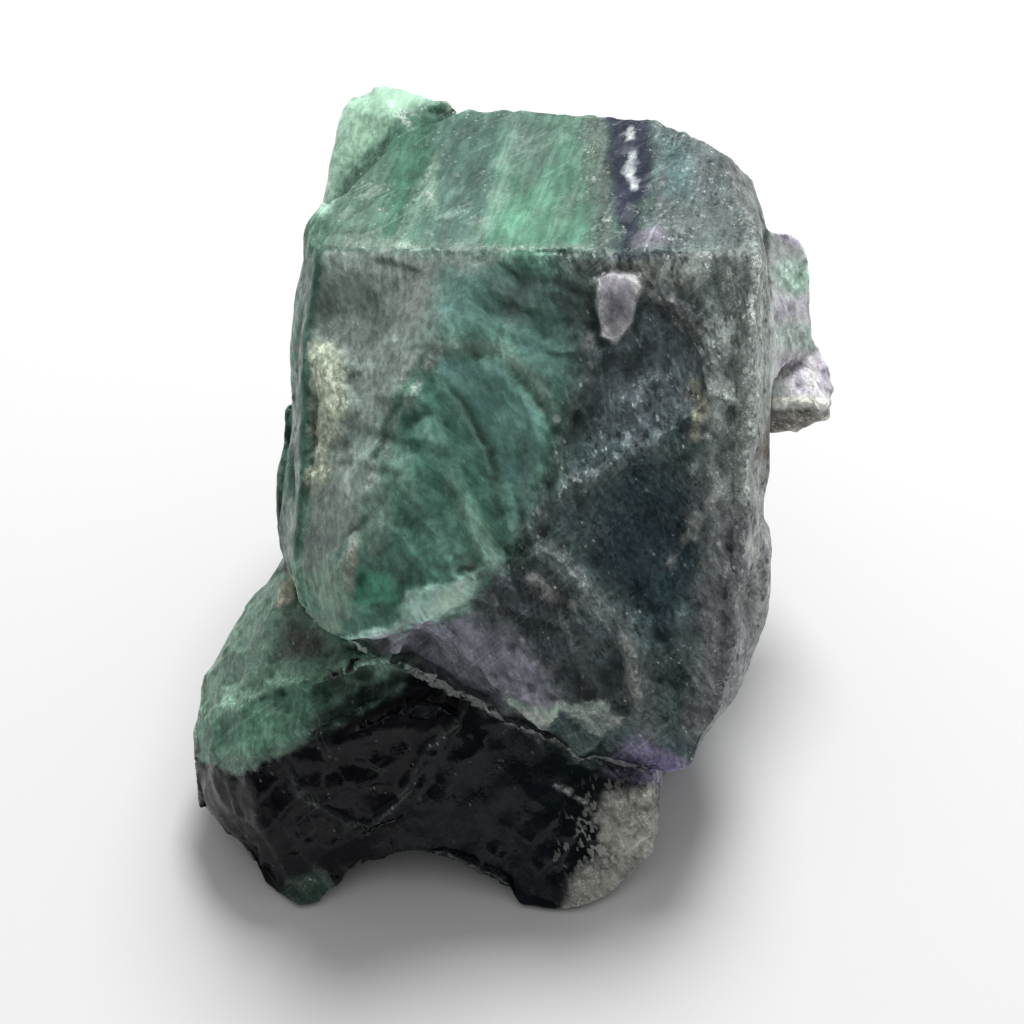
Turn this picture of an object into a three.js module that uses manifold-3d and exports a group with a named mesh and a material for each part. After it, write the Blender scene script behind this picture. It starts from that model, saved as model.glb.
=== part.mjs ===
// A rough, broken piece of green and purple fluorite: one solid, resting on four flat spots of its break.
// Millimetres, +Z up. The broken front, with its two feet, faces -Y. The corners are measured from a
// point under the stone on the surface that it rests on, and the finished stone is moved sideways, by
// under 4 mm, so that the origin is under the middle of its box.
import * as THREE from "three";
import { ConvexGeometry } from "three/addons/geometries/ConvexGeometry.js";
import { ConvexHull } from "three/addons/math/ConvexHull.js";
import { mergeVertices } from "three/addons/utils/BufferGeometryUtils.js";
import Module from "manifold-3d";

// The main levels of the stone.
const RIDGE_Z = 64.2;
const CROWN_BACK_Z = 58.8;
const SHELF_Z = 33;
const OVERHANG_Z = 17;

// How far it reaches to each side and to the feet in front.
const BODY_LEFT_X = -24;
const BODY_RIGHT_X = 28;
const LOBE_LEFT_X = -36.5;
const LOBE_RIGHT_X = 37.3;
const FEET_Y = -33.5;

// The broken front is measured from the middle of the ridge, on a slope this many degrees from level.
const FRONT = { slope: 40, ridge: [0, 6.5, RIDGE_Z] };

// The heart of the stone, which every facet of the front reaches back to: across, down and out.
const HEART = [0, 28, -30];

// Corners of the front's facets, in millimetres across, down the slope, and out from it.
const FRONT_CORNERS = {
  ridge: [[-20, -0.5, 0], [-14.5, 0, 0], [-6.5, 0.5, 0], [-0.5, 0.5, 0], [5, 0.5, 0], [11.5, 0.5, 0],
    [18.5, 0.5, 0], [24.5, 0, -0.5]],
  leftEdge: [[-21, 8, -1], [-20.5, 15.5, -1.5], [-21.5, 22.5, -2.5], [-22.5, 32, -5], [-22.5, 36, -5.5],
    [-20.5, 39, -4.5]],
  greyFacet: [[-13.5, 5, 0.5], [-17, 15.5, 0.5], [-19.5, 25.5, -1]],
  greyRidge: [[-5, 5, 2], [-8.5, 10, 3.5], [-11.5, 14, 3.5], [-14, 19, 3], [-16.5, 25.5, 2],
    [-17.5, 31, 0.5], [-18, 36, -1]],
  upperHollow: [[1, 4, -1], [-1, 7, -0.5], [3.5, 9, -1.5], [7.5, 5, 0.5], [5, 13.5, -1]],
  hollowRim: [[-7.5, 10.5, 3], [-3, 10, 2.5], [-0.5, 11.5, 2], [1.5, 13.5, 1.5], [4.5, 17, 0.5]],
  greenHollow: [[-5.5, 13, 1], [-2.5, 16, -1.5], [-0.5, 20.5, -3.5], [-0.5, 25.5, -4.5], [0, 29, -5],
    [2, 19.5, -1.5], [2.5, 24, -2.5]],
  knob: [[-8, 16.5, 3], [-9, 22.5, 4], [-11.5, 29.5, 3], [-14, 35.5, 0], [-6.5, 20.5, 3], [-4, 24, 1],
    [-3, 29.5, 1], [-7.5, 34, 1.5], [-10.5, 37, 0]],
  knobRim: [[-18.5, 40.5, -3], [-15.5, 40, -1.5], [-12, 39, -1], [-8, 38.5, -1], [-5.5, 37, -1.5],
    [-0.5, 34.5, -2.5], [0, 32, -3]],
  rightFacets: [[7, 6.5, -0.5], [9, 15.5, -2], [14, 10, -1.5], [16.5, 5.5, 0.5], [19.5, 11, 0],
    [20.5, 15.5, -0.5], [6.5, 19.5, -1.5]],
  fork: [[13.5, 21, -1], [10.5, 24, -1], [9, 27.5, -2], [6.5, 24, -1], [4.5, 25.5, -1.5],
    [2.5, 27.5, -2.5], [3.5, 21, -0.5]],
  darkDish: [[14.5, 27.5, -5], [18.5, 25.5, -4], [20, 32, -6], [13.5, 36, -6.5], [16.5, 41.5, -8],
    [20.5, 20.5, -2.5], [10, 32, -4.5]],
  column: [[24.5, 8, -1.5], [24.5, 18.5, -3.5], [24.5, 31, -7], [24, 40.5, -9.5], [22, 49.5, -13],
    [19.5, 55, -15.5], [22, 32, -5.5], [20, 40.5, -8.5], [19, 47, -11.5], [22.5, 15.5, -1.5]],
  spine: [[3, 31, -2], [5.5, 32.5, -2.5], [9, 36, -3.5], [11.5, 39, -5], [12.5, 41, -5.5], [13, 46, -8],
    [15.5, 51, -11.5]],
  belly: [[2, 36, -5], [-1.5, 40.5, -5], [4, 41.5, -6.5], [7.5, 44, -7.5], [9.5, 42, -6.5],
    [-4.5, 41.5, -4], [-9.5, 41.5, -5], [6, 37, -5]],
  flakes: [[-1.5, 46.5, -7], [3.5, 47, -8], [5.5, 49.5, -9], [8.5, 47.5, -8], [12, 48, -9.5],
    [13, 51, -11]],
  lowerEdge: [[-14.5, 40.5, -4], [-11.5, 42.5, -5.5], [-8.5, 44.5, -6.5], [-4.5, 46.5, -7.5],
    [-1.5, 48, -9], [3, 51.5, -10.5], [6.5, 54, -12], [9.5, 55, -13], [14, 56.5, -15], [16.5, 56, -15.5]],
};

// The outline, across and down, inside which the facets stand in place of the plain block, and how far
// past that outline the space made for them is opened.
const BOWL_OPENING = 1.3;
const FRONT_BOWL = [[-19.5, 0.6], [24, 0.6], [24.2, 32], [21.5, 49], [16, 55], [10, 54], [-14, 40],
  [-20, 38], [-22, 34]];

// A pale chip that stands proud under the ridge at the right.
const PALE_CHIP = [[9, 2.5, 1.5], [12.5, 3.5, 1.5], [13, 7, 1.2], [10.5, 9.5, 1], [8.5, 7.5, 1.2],
  [8, 2, -4], [14, 3, -4], [14, 8, -5], [10, 11, -5], [7.5, 8, -5]];

// Fluorite splits along eight-sided cleavage, and chips are broken out that way.
const CHIPS = {
  count: 30,
  radius: [8, 19],
  depth: [0.35, 1.1],
  tilt: 7,
  sideX: 22,
  sideY: -12,
  backY: 12,
  steepestUp: 0.7,
};

// Small lumps of crust stand on the outer end of the right lobe, within this box.
const CRUST = { count: 34, radius: [1, 2], rise: 0.45, flatness: 0.9, tries: 4000 };
const CRUST_BOX = new THREE.Box3(new THREE.Vector3(9, -40, 2), new THREE.Vector3(30, -14, 13));

// The underside is a little hollow, so the stone rests on a low spot under each foot and on two behind.
// Each spot has its middle, across and back, and its reach at the level that the stone rests on.
const HOLLOW = { height: 0.5, depthUnder: 1, overlap: 0.1, halfWidth: 60 };
const SPOTS = [[-24.6, -26.2, 3], [12.4, -27.2, 3.4], [-15.6, 20.9, 3.6], [17.4, 20.9, 3.6]];

// A spot's outline, as shares of its reach, and how much further it reaches for each millimetre up.
const SPOT_OUTLINE = [[-1, -0.7], [0.2, -1], [1, -0.3], [0.8, 0.9], [-0.6, 1]];
const SPOT_FLARE = 2;

// Faces that look further down than this are left whole, as the stone rests on them.
const RESTING_NORMAL_Z = -0.6;
const OCTAHEDRON_FACE = new THREE.Vector3(1, 1, 1).normalize();

const wasm = await Module();
wasm.setup();

// A repeatable stream of numbers from 0 to 1, so that every build gives the same stone.
function numberStream(seed) {
  let state = seed;
  return () => {
    state = (state + 0x6d2b79f5) | 0;
    let t = Math.imul(state ^ (state >>> 15), 1 | state);
    t = (t + Math.imul(t ^ (t >>> 7), 61 | t)) ^ t;
    return ((t ^ (t >>> 14)) >>> 0) / 2 ** 32;
  };
}

function between([low, high], share) {
  return low + (high - low) * share;
}

// A closed three.js geometry as a solid that can be joined and cut.
function solidOf(geometry) {
  const bare = new THREE.BufferGeometry().setAttribute(
    "position",
    geometry.getAttribute("position"),
  );
  if (geometry.index) bare.setIndex(geometry.index);
  const merged = mergeVertices(bare, 1e-4);
  return new wasm.Manifold(
    new wasm.Mesh({
      numProp: 3,
      vertProperties: new Float32Array(merged.getAttribute("position").array),
      triVerts: new Uint32Array(merged.index.array),
    }),
  );
}

// A flat-faced block that spans its corners.
function block(corners) {
  const points = corners.map(([x, y, z]) => new THREE.Vector3(x, y, z));
  return solidOf(new ConvexGeometry(points));
}

// A small rounded lump, a little flatter than it is wide.
function lump(centre, radius) {
  const geometry = new THREE.IcosahedronGeometry(radius, 1);
  geometry.scale(1, 1, CRUST.flatness);
  geometry.translate(centre.x, centre.y, centre.z);
  return solidOf(geometry);
}

// The tall body: a ridge on top, a crown that falls away behind it, and a steep broken front.
function body() {
  return block([
    [-19.9, 6.8, RIDGE_Z],
    [24.4, 6.6, RIDGE_Z - 0.3],
    [-19.6, 14, 62.7],
    [-12.4, 31.1, 60],
    [-3.6, 35.6, CROWN_BACK_Z],
    [15.9, 32.3, 59.7],
    [19.2, 28.8, 60.4],
    [23.1, 25.7, 60.6],
    [23.8, 15.8, 62.1],
    [27, 27.2, 55.5],
    [28.5, 22.8, 53.5],
    [BODY_RIGHT_X, 12.1, 46.7],
    [BODY_RIGHT_X, 3.6, 33],
    [BODY_RIGHT_X, -8.9, 20],
    [26.4, -13.5, 18.7],
    [23.9, -17.2, 18.1],
    [19.4, -25.4, 16.5],
    [24.4, 0.2, 58.9],
    [24.2, -13.3, 39.7],
    [21.9, -23, 22.5],
    [-21, 0.9, 58.1],
    [-21.3, -9.5, 48.1],
    [-22.4, -14.8, 39.8],
    [-22.4, 10.4, 54.4],
    [-23.6, 2.8, 45.4],
    [-24.3, -2.5, 38.4],
    [-25.1, -6.4, 31.2],
    [-17.3, -19.5, 34],
    [-8, -23, 30],
    [3, -25.8, 22.7],
    [9.5, -26.6, 18.2],
    [15.1, -26.5, 15.6],
    [BODY_LEFT_X, 4, OVERHANG_Z],
    [-21, -10, 24],
    [24, -8, 12],
    [-22, 29, 42],
    [25, 31, 40],
    [-20, 28, 10],
    [22, 28, 8],
  ]);
}

// The foot of the body, which stands on a flat break.
function plinth() {
  return block([
    [-27, 3, 0],
    [-21, 26, 0],
    [-5, 31, 0],
    [19, 28, 0],
    [26, 9, 0],
    [24, -5, 0],
    [15, -20, 0],
    [-20, -14, 0],
    [-26, 2, 22],
    [-22, 29, 24],
    [-5, 34, 26],
    [22, 31, 24],
    [27, 8, 24],
    [25, -8, 18],
    [13, -18, 22],
    [-20, -12, 26],
  ]);
}

// The low lobe at the left, with a sloping top and a steep dark front.
function leftLobe() {
  return block([
    [-24.4, -7, 29.3],
    [-28.7, -6.7, 24.4],
    [-32.7, -9.6, 18],
    [-35.4, -11, 15.6],
    [LOBE_LEFT_X, -18.4, 13],
    [-33.2, -23.2, 15.7],
    [-29.5, -26.6, 18.2],
    [-19.6, -23.7, 23.1],
    [-12.1, -20.5, 24.5],
    [-10, -17.8, 25.5],
    [-36, -23.2, 5],
    [-26.7, -31.3, 0],
    [-23.8, FEET_Y, 0],
    [-18.7, -31.2, 0],
    [-13.6, -29.8, 2],
    [-33, -12, 0],
    [-27, 3, 0],
    [-8, -8, 0],
    [-22, 2, 26],
  ]);
}

// A ledge on the left lobe, which ends in a step along the lobe's front.
function lobeLedge() {
  return block([
    [-29, -12, 22.4],
    [-26, -9, 26.4],
    [-22.5, -20.5, 24.4],
    [-17.5, -19.8, 26.2],
    [-12.5, -18, 27],
    [-14, -12, 28.4],
    [-22, -8, 29],
    [-20, -12, 18],
  ]);
}

// The dark mass between the two lobes, over the arch.
function middleMass() {
  return block([
    [-19.6, -22.5, 22.8],
    [-12.1, -20, 24.3],
    [-7, -19.5, 24.5],
    [4, -21, 22],
    [-18.7, -30.6, 1],
    [-11.4, -29.3, 3],
    [-4.7, -31, 1],
    [3, -32.5, 1],
    [-18, -10, 24],
    [8, -10, 24],
    [-18, -12, 0],
    [8, -12, 0],
  ]);
}

// The low lobe at the right, under the overhang.
function rightLobe() {
  return block([
    [-4, -19.9, 24.3],
    [14.1, -25, 12.9],
    [15.3, -25.1, 12],
    [16.3, -26.4, 6],
    [14.8, -29, 3],
    [9.9, -32.4, 0],
    [5.4, FEET_Y - 0.5, 0],
    [0.3, -33.1, 0],
    [-6, -31, 0],
    [16, -12, 0],
    [17, -14, 14],
    [-8, -12, 0],
    [-8, -12, 25],
  ]);
}

// The part that stands out behind at the right: a banded slab over a shelf with a dark underside.
function rearLobe() {
  const slab = block([
    [24, 21.5, 52.5],
    [28.6, 22, 52.8],
    [31.6, 24, 50.4],
    [33.3, 25, 47.9],
    [34.8, 24, 36.1],
    [35.5, 20.5, 34.5],
    [24, 20, 35],
    [27, 12, 44],
    [27, 11, 38],
    [24, 29, 48],
    [30.5, 29, 44],
    [31, 31, 36],
    [22, 31, 34],
  ]);
  const shelf = block([
    [24, 20, 37.5],
    [35.5, 21.5, 36],
    [LOBE_RIGHT_X, 17, SHELF_Z - 1],
    [36.6, 15, SHELF_Z - 4],
    [34, 12.5, SHELF_Z],
    [24, 11, SHELF_Z + 1],
    [24, 14, 22],
    [30, 15.5, 22.2],
    [34.3, 17, 25],
    [32, 29, 33],
    [22, 30, 26],
  ]);
  return slab.add(shelf);
}

// The pale rounded lump behind the crown at the left.
function crownLump() {
  return block([
    [-20.4, 28.2, 56.3],
    [-20.6, 31, 57.6],
    [-19.6, 34.2, 59.2],
    [-17.9, 36.1, 60.3],
    [-15.6, 37.2, 60.9],
    [-12.6, 37.2, 60.9],
    [-9.9, 36.3, 60],
    [-6, 36.2, 59.4],
    [-4, 35.5, 58.9],
    [-18.5, 26, 60.5],
    [-13, 28, 61.5],
    [-9, 33, 60.6],
    [-19, 39.5, 52],
    [-13, 41, 52],
    [-6, 39.5, 51],
    [-21.5, 30, 46],
    [-19, 37, 38],
    [-10, 38, 36],
    [-20, 16, 45],
    [-5, 20, 40],
  ]);
}

// The green flank that joins the crown to the pale lump at the left.
function crownFlank() {
  return block([
    [-20.6, 8.7, 62.8],
    [-20.8, 14, 61],
    [-20, 20, 61.5],
    [-20.2, 27, 58],
    [-22.8, 12, 50],
    [-22, 26, 46],
    [-15, 20, 55],
    [-15, 10, 58],
  ]);
}

// Humps that keep the back from being one flat wall.
function backHumps() {
  return [
    block([
      [2, 34, 50],
      [17, 34, 46],
      [21, 33, 30],
      [14, 38.5, 24],
      [3, 39, 34],
      [-3, 37, 44],
      [-4, 36, 22],
      [8, 36.5, 12],
      [0, 20, 20],
      [10, 20, 45],
    ]),
    block([
      [-27.5, 8, 20],
      [-27, 18, 28],
      [-23, 28, 26],
      [-25, 22, 8],
      [-28.5, 10, 6],
      [-27, 4, 1],
      [-20, 20, 0],
      [-18, 10, 30],
    ]),
  ];
}

// A thin flake that stands proud of the dark front between the feet.
function frontFlake() {
  return block([
    [-7.6, -21.6, 24.2],
    [-5.6, -22.4, 22.4],
    [-6.4, -23.2, 20.2],
    [-7.9, -25, 16.6],
    [-9.2, -26.7, 13],
    [-12.4, -28.7, 9.9],
    [-15.9, -29.4, 8.6],
    [-20.2, -27.6, 12],
    [-22.4, -26, 16],
    [-18, -24.2, 21.5],
    [-11, -21.6, 24.4],
    [-13, -18, 14],
  ]);
}

// A place on the broken front, from its distances across, down the slope, and out from it.
function onFront([across, down, out]) {
  const slope = THREE.MathUtils.degToRad(FRONT.slope);
  const [x, y, z] = FRONT.ridge;
  return [
    x + across,
    y - down * Math.cos(slope) - out * Math.sin(slope),
    z - down * Math.sin(slope) + out * Math.cos(slope),
  ];
}

// Triples of corners that lie nearest each other: the underside of the hull of the corners, when each
// is raised by the square of its distance from the middle of the ridge.
function facetsBetween(corners) {
  const raised = corners.map(([across, down]) => new THREE.Vector3(across, down, across ** 2 + down ** 2));
  const hull = new ConvexHull().setFromPoints(raised);
  return hull.faces
    .filter((face) => face.normal.z < 0)
    .map((face) => [face.edge, face.edge.next, face.edge.prev])
    .map((edges) => edges.map((edge) => corners[raised.indexOf(edge.head().point)]));
}

// The broken front's facets, each reaching back to the heart of the stone.
function frontFacets() {
  const corners = Object.values(FRONT_CORNERS).flat();
  const wedges = facetsBetween(corners).map((facet) => block([...facet, HEART].map(onFront)));
  return joined(wedges);
}

// What the facets stand in place of: a cone from the heart out through the front.
function frontBowl() {
  const rim = FRONT_BOWL.map(([across, down]) => {
    const place = new THREE.Vector3(across, down, 0);
    const heart = new THREE.Vector3(...HEART);
    return heart.clone().lerp(place, BOWL_OPENING).toArray();
  });
  return block([...rim, HEART].map(onFront));
}

// The arch between the two feet.
function arch() {
  return block([
    [-24.3, -45, -1],
    [4.2, -45, -1],
    [-11.4, -45, 6.2],
    [-24.3, -30, -1],
    [4.2, -30, -1],
    [-11.4, -30, 6.2],
    [-19, -15, -1],
    [-3, -15, -1],
    [-11.4, -12, -0.5],
  ]);
}

// Points spread evenly over a solid's surface, each with the outward normal there.
function surfaceSites(solid, count, next) {
  const { vertProperties: v, triVerts: t } = solid.getMesh();
  const corner = (i) => new THREE.Vector3(v[3 * t[i]], v[3 * t[i] + 1], v[3 * t[i] + 2]);
  const faces = [];
  let total = 0;
  for (let i = 0; i < t.length; i += 3) {
    const face = new THREE.Triangle(corner(i), corner(i + 1), corner(i + 2));
    total += face.getArea();
    faces.push({ face, upTo: total });
  }
  const sites = [];
  while (sites.length < count) {
    const pick = next() * total;
    const { face } = faces.find(({ upTo }) => upTo >= pick);
    const normal = face.getNormal(new THREE.Vector3());
    let [p, q] = [next(), next()];
    if (p + q > 1) [p, q] = [1 - p, 1 - q];
    if (normal.z < RESTING_NORMAL_Z) continue;
    const at = face.a
      .clone()
      .addScaledVector(face.b.clone().sub(face.a), p)
      .addScaledVector(face.c.clone().sub(face.a), q);
    sites.push({ at, normal });
  }
  return sites;
}

// An eight-sided cleavage form with one face square to a direction, spun and tilted a little.
function cleavageForm({ centre, facing, radius, spin, tilt }) {
  const geometry = new THREE.OctahedronGeometry(radius, 0);
  const turn = new THREE.Quaternion().setFromUnitVectors(OCTAHEDRON_FACE, new THREE.Vector3(0, 0, 1));
  geometry.applyQuaternion(turn);
  geometry.rotateZ(spin);
  geometry.rotateX(tilt);
  geometry.applyQuaternion(
    new THREE.Quaternion().setFromUnitVectors(new THREE.Vector3(0, 0, 1), facing),
  );
  geometry.translate(centre.x, centre.y, centre.z);
  return solidOf(geometry);
}

// Chips from the back and the sides. The broken front has its own facets, and the crown is whole.
function chipCutters(solid, next) {
  const isChipped = ({ at, normal }) => {
    const atSide = Math.abs(at.x) > CHIPS.sideX && at.y > CHIPS.sideY;
    return normal.z < CHIPS.steepestUp && (atSide || at.y > CHIPS.backY);
  };
  const sites = surfaceSites(solid, CHIPS.count * 6, next).filter(isChipped).slice(0, CHIPS.count);
  return sites.map(({ at, normal }) => {
    const share = next();
    const radius = between(CHIPS.radius, share * share);
    const depth = between(CHIPS.depth, next());
    const reach = radius / Math.sqrt(3) - depth;
    return cleavageForm({
      centre: at.clone().addScaledVector(normal, reach),
      facing: normal.clone().negate(),
      radius,
      spin: next() * Math.PI * 2,
      tilt: THREE.MathUtils.degToRad(CHIPS.tilt * (2 * next() - 1)),
    });
  });
}

// The knobbly crust on the outer end of the right lobe.
function crustLumps(solid, next) {
  const onCrust = ({ at, normal }) => CRUST_BOX.containsPoint(at) && normal.x > 0.1;
  return surfaceSites(solid, CRUST.tries, next)
    .filter(onCrust)
    .slice(0, CRUST.count)
    .map(({ at, normal }) => {
      const radius = between(CRUST.radius, next());
      const centre = at.clone().addScaledVector(normal, CRUST.rise - radius);
      return lump(centre, radius);
    });
}

function joined(solids) {
  return solids.reduce((whole, next) => whole.add(next));
}

function cut(solid, cutters) {
  return cutters.reduce((left, cutter) => left.subtract(cutter), solid);
}

// A spot that the stone rests on, from under that level up into the stone.
function restingSpot([x, y, reach]) {
  const levels = [-HOLLOW.depthUnder, HOLLOW.height + HOLLOW.overlap];
  const corners = levels.flatMap((z) => {
    const grown = reach + SPOT_FLARE * z;
    return SPOT_OUTLINE.map(([across, back]) => [x + grown * across, y + grown * back, z]);
  });
  return block(corners);
}

// The low space under the stone, all round the spots that it rests on.
function hollow() {
  const { height, depthUnder, halfWidth } = HOLLOW;
  const corners = [-halfWidth, halfWidth].flatMap((x) =>
    [-halfWidth, halfWidth].flatMap((y) => [-depthUnder, height].map((z) => [x, y, z])),
  );
  return cut(block(corners), SPOTS.map(restingSpot));
}

// Everything that lies above the surface that the stone rests on.
function aboveFloor(solid) {
  return solid.trimByPlane([0, 0, 1], 0);
}

// The solid moved sideways, so that the origin is under the middle of its box.
function centred(solid) {
  const { min, max } = solid.boundingBox();
  return solid.translate([-(min[0] + max[0]) / 2, -(min[1] + max[1]) / 2, 0]);
}

function stone() {
  const next = numberStream(11);
  const tall = joined([cut(body(), [frontBowl()]), frontFacets(), block(PALE_CHIP.map(onFront))]);
  const rough = joined([
    tall,
    plinth(),
    leftLobe(),
    lobeLedge(),
    middleMass(),
    rightLobe(),
    rearLobe(),
    crownFlank(),
    crownLump(),
    ...backHumps(),
    frontFlake(),
  ]);
  const withArch = cut(rough, [arch()]);
  const chipped = cut(withArch, chipCutters(withArch, next));
  const crusted = joined([chipped, ...crustLumps(chipped, next)]);
  return centred(aboveFloor(cut(crusted, [hollow()])));
}

function meshOf(solid, name, material) {
  const { vertProperties, triVerts } = solid.getMesh();
  const geometry = new THREE.BufferGeometry();
  geometry.setAttribute("position", new THREE.BufferAttribute(new Float32Array(vertProperties), 3));
  geometry.setIndex(new THREE.BufferAttribute(new Uint32Array(triVerts), 1));
  const mesh = new THREE.Mesh(geometry, material);
  mesh.name = name;
  return mesh;
}

const crystal = new THREE.MeshStandardMaterial({ color: 0x3f5a55, roughness: 0.45, metalness: 0 });
const specimen = new THREE.Group();
specimen.add(meshOf(stone(), "fluorite", crystal));

export default specimen;
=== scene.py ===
"""A rough piece of green and purple fluorite, dressed for a studio picture.

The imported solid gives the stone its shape. Here it gets a fine skin with the worn edges, steps, grooves,
pits and crust of the real one, and one crystal finish whose colours follow the zones of the stone.
"""

import itertools
import logging
import math
from dataclasses import dataclass
from enum import Enum
from typing import Optional, Sequence, Union

import bpy
import numpy as np
from mathutils import Euler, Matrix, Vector
from mathutils.bvhtree import BVHTree


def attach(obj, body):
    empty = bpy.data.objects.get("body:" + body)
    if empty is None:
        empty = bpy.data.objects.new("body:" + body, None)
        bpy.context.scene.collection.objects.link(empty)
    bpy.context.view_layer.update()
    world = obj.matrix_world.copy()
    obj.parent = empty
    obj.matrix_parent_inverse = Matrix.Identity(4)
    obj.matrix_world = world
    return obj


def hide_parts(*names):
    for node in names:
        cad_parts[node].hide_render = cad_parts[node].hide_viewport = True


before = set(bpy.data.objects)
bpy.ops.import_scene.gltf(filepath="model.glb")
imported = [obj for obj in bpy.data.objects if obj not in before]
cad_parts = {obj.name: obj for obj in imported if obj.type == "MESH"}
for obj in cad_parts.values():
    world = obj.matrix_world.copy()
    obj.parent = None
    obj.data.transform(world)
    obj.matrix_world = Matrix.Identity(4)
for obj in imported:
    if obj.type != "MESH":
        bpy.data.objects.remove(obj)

LOG = logging.getLogger("fluorite")
NODE = "fluorite"
BODY = "root"
MM = 0.001
LUMP_CENTRE = (-16.0, 24.0, 52.0)

Colour = tuple[float, float, float]
Point = tuple[float, float]
Array = np.ndarray


def smoothstep(low: float, high: float, values: Array) -> Array:
    """Rise softly from 0 at one value to 1 at another.

    Args:
        low: The value where the result is 0.
        high: The value where the result is 1.
        values: The values to look up.

    Returns:
        The results, from 0 to 1.
    """
    share = np.clip((values - low) / (high - low), 0.0, 1.0)
    return share * share * (3.0 - 2.0 * share)


def near(points: Array, centre: Sequence[float], reach: float) -> Array:
    """Return 1 near a place, falling to 0 at a distance in millimetres."""
    away = np.linalg.norm(points - np.array(centre), axis=1)
    return smoothstep(reach, reach * 0.6, away)


def unit(vector: Sequence[float]) -> Array:
    """Return the direction of a vector, one long."""
    direction = np.asarray(vector, dtype=float)
    return direction / np.linalg.norm(direction)


class SpaceNoise:
    """Smooth noise in space that is the same on every run."""

    LATTICE = 256
    LEVEL = 1.6
    CRYSTAL_TURN = np.array(Euler((0.35, 0.55, 0.62)).to_matrix())

    def __init__(self, seed: int) -> None:
        """Make the lattice of slopes.

        Args:
            seed: The number that picks this noise.
        """
        picks = np.random.default_rng(seed)
        self.order = picks.permutation(self.LATTICE)
        slopes = picks.normal(size=(self.LATTICE, 3))
        self.slopes = slopes / np.linalg.norm(slopes, axis=1, keepdims=True)
        self.spots = picks.random((self.LATTICE, 3))
        self.shift = picks.random(3) * self.LATTICE

    def _pick(self, lattice: Array) -> Array:
        """Pick one repeatable index for each lattice point.

        Args:
            lattice: Whole-numbered places, one a row.

        Returns:
            The indices.
        """
        wrapped = lattice % self.LATTICE
        first = self.order[wrapped[:, 0]]
        second = self.order[(first + wrapped[:, 1]) % self.LATTICE]
        return self.order[(second + wrapped[:, 2]) % self.LATTICE]

    def smooth(self, points: Array, wavelength: float) -> Array:
        """Sample the noise.

        Args:
            points: Places in millimetres, one a row.
            wavelength: The distance between two swells, in millimetres.

        Returns:
            Values of about -1 to 1, one for each place.
        """
        scaled = points / wavelength + self.shift
        base = np.floor(scaled).astype(np.int64)
        part = scaled - base
        fade = part**3 * (part * (part * 6.0 - 15.0) + 10.0)
        total = np.zeros(len(points))
        for corner in itertools.product((0, 1), repeat=3):
            corner_at = np.array(corner)
            slope = self.slopes[self._pick(base + corner_at)]
            rise = ((part - corner_at) * slope).sum(axis=1)
            weight = np.prod(np.where(corner_at == 1, fade, 1.0 - fade), axis=1)
            total += rise * weight
        return total * self.LEVEL

    def layered(self, points: Array, wavelength: float, layers: int = 3, gain: float = 0.5) -> Array:
        """Sum noise of ever shorter wavelengths.

        Args:
            points: Places in millimetres, one a row.
            wavelength: The longest wavelength, in millimetres.
            layers: How many wavelengths are summed, each half the one before.
            gain: The strength of each layer against the one before.

        Returns:
            Values of about -1 to 1, one for each place.
        """
        total = np.zeros(len(points))
        strength, reach = 1.0, 0.0
        for layer in range(layers):
            total += strength * self.smooth(points, wavelength / 2**layer)
            reach += strength
            strength *= gain
        return total / reach

    def grains(self, points: Array, spacing: float) -> tuple[Array, Array]:
        """Find the nearest of many scattered spots.

        Args:
            points: Places in millimetres, one a row.
            spacing: The usual distance between spots, in millimetres.

        Returns:
            The distance to the nearest spot as a share of the spacing, and a number from 0 to 1 that
            belongs to that spot.
        """
        scaled = points / spacing + self.shift
        base = np.floor(scaled).astype(np.int64)
        nearest = np.full(len(points), 9.0)
        label = np.zeros(len(points))
        for step in itertools.product((-1, 0, 1), repeat=3):
            cell = base + np.array(step)
            pick = self._pick(cell)
            away = np.linalg.norm(cell + self.spots[pick] - scaled, axis=1)
            closer = away < nearest
            nearest = np.where(closer, away, nearest)
            label = np.where(closer, pick / self.LATTICE, label)
        return nearest, label

    def scars(self, points: Array, spacing: float, tilt: float, flat: float = 0.0) -> Array:
        """Cut the surface into shallow scars that meet in sharp rims.

        Args:
            points: Places in millimetres, one a row.
            spacing: The usual distance between two scars, in millimetres.
            tilt: How far the scars lean against each other.
            flat: How far they are flat splits along the crystal's planes, from 0 for hollow shells to 1.

        Returns:
            Heights of about -1 to 1, with the rims on top.
        """
        scaled = points / spacing + self.shift
        base = np.floor(scaled).astype(np.int64)
        height = np.full(len(points), 9.0)
        for step in itertools.product((-1, 0, 1), repeat=3):
            cell = base + np.array(step)
            pick = self._pick(cell)
            offset = scaled - cell - self.spots[pick]
            lean = (offset * self.slopes[pick]).sum(axis=1)
            shell = (offset * offset).sum(axis=1)
            split = 0.62 * np.abs(offset @ self.CRYSTAL_TURN).sum(axis=1) - 0.05
            scar = shell + flat * (split - shell) + tilt * lean + 0.35 * self.spots[pick, 0]
            height = np.minimum(height, scar)
        return 1.8 * (height - 0.42)


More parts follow.
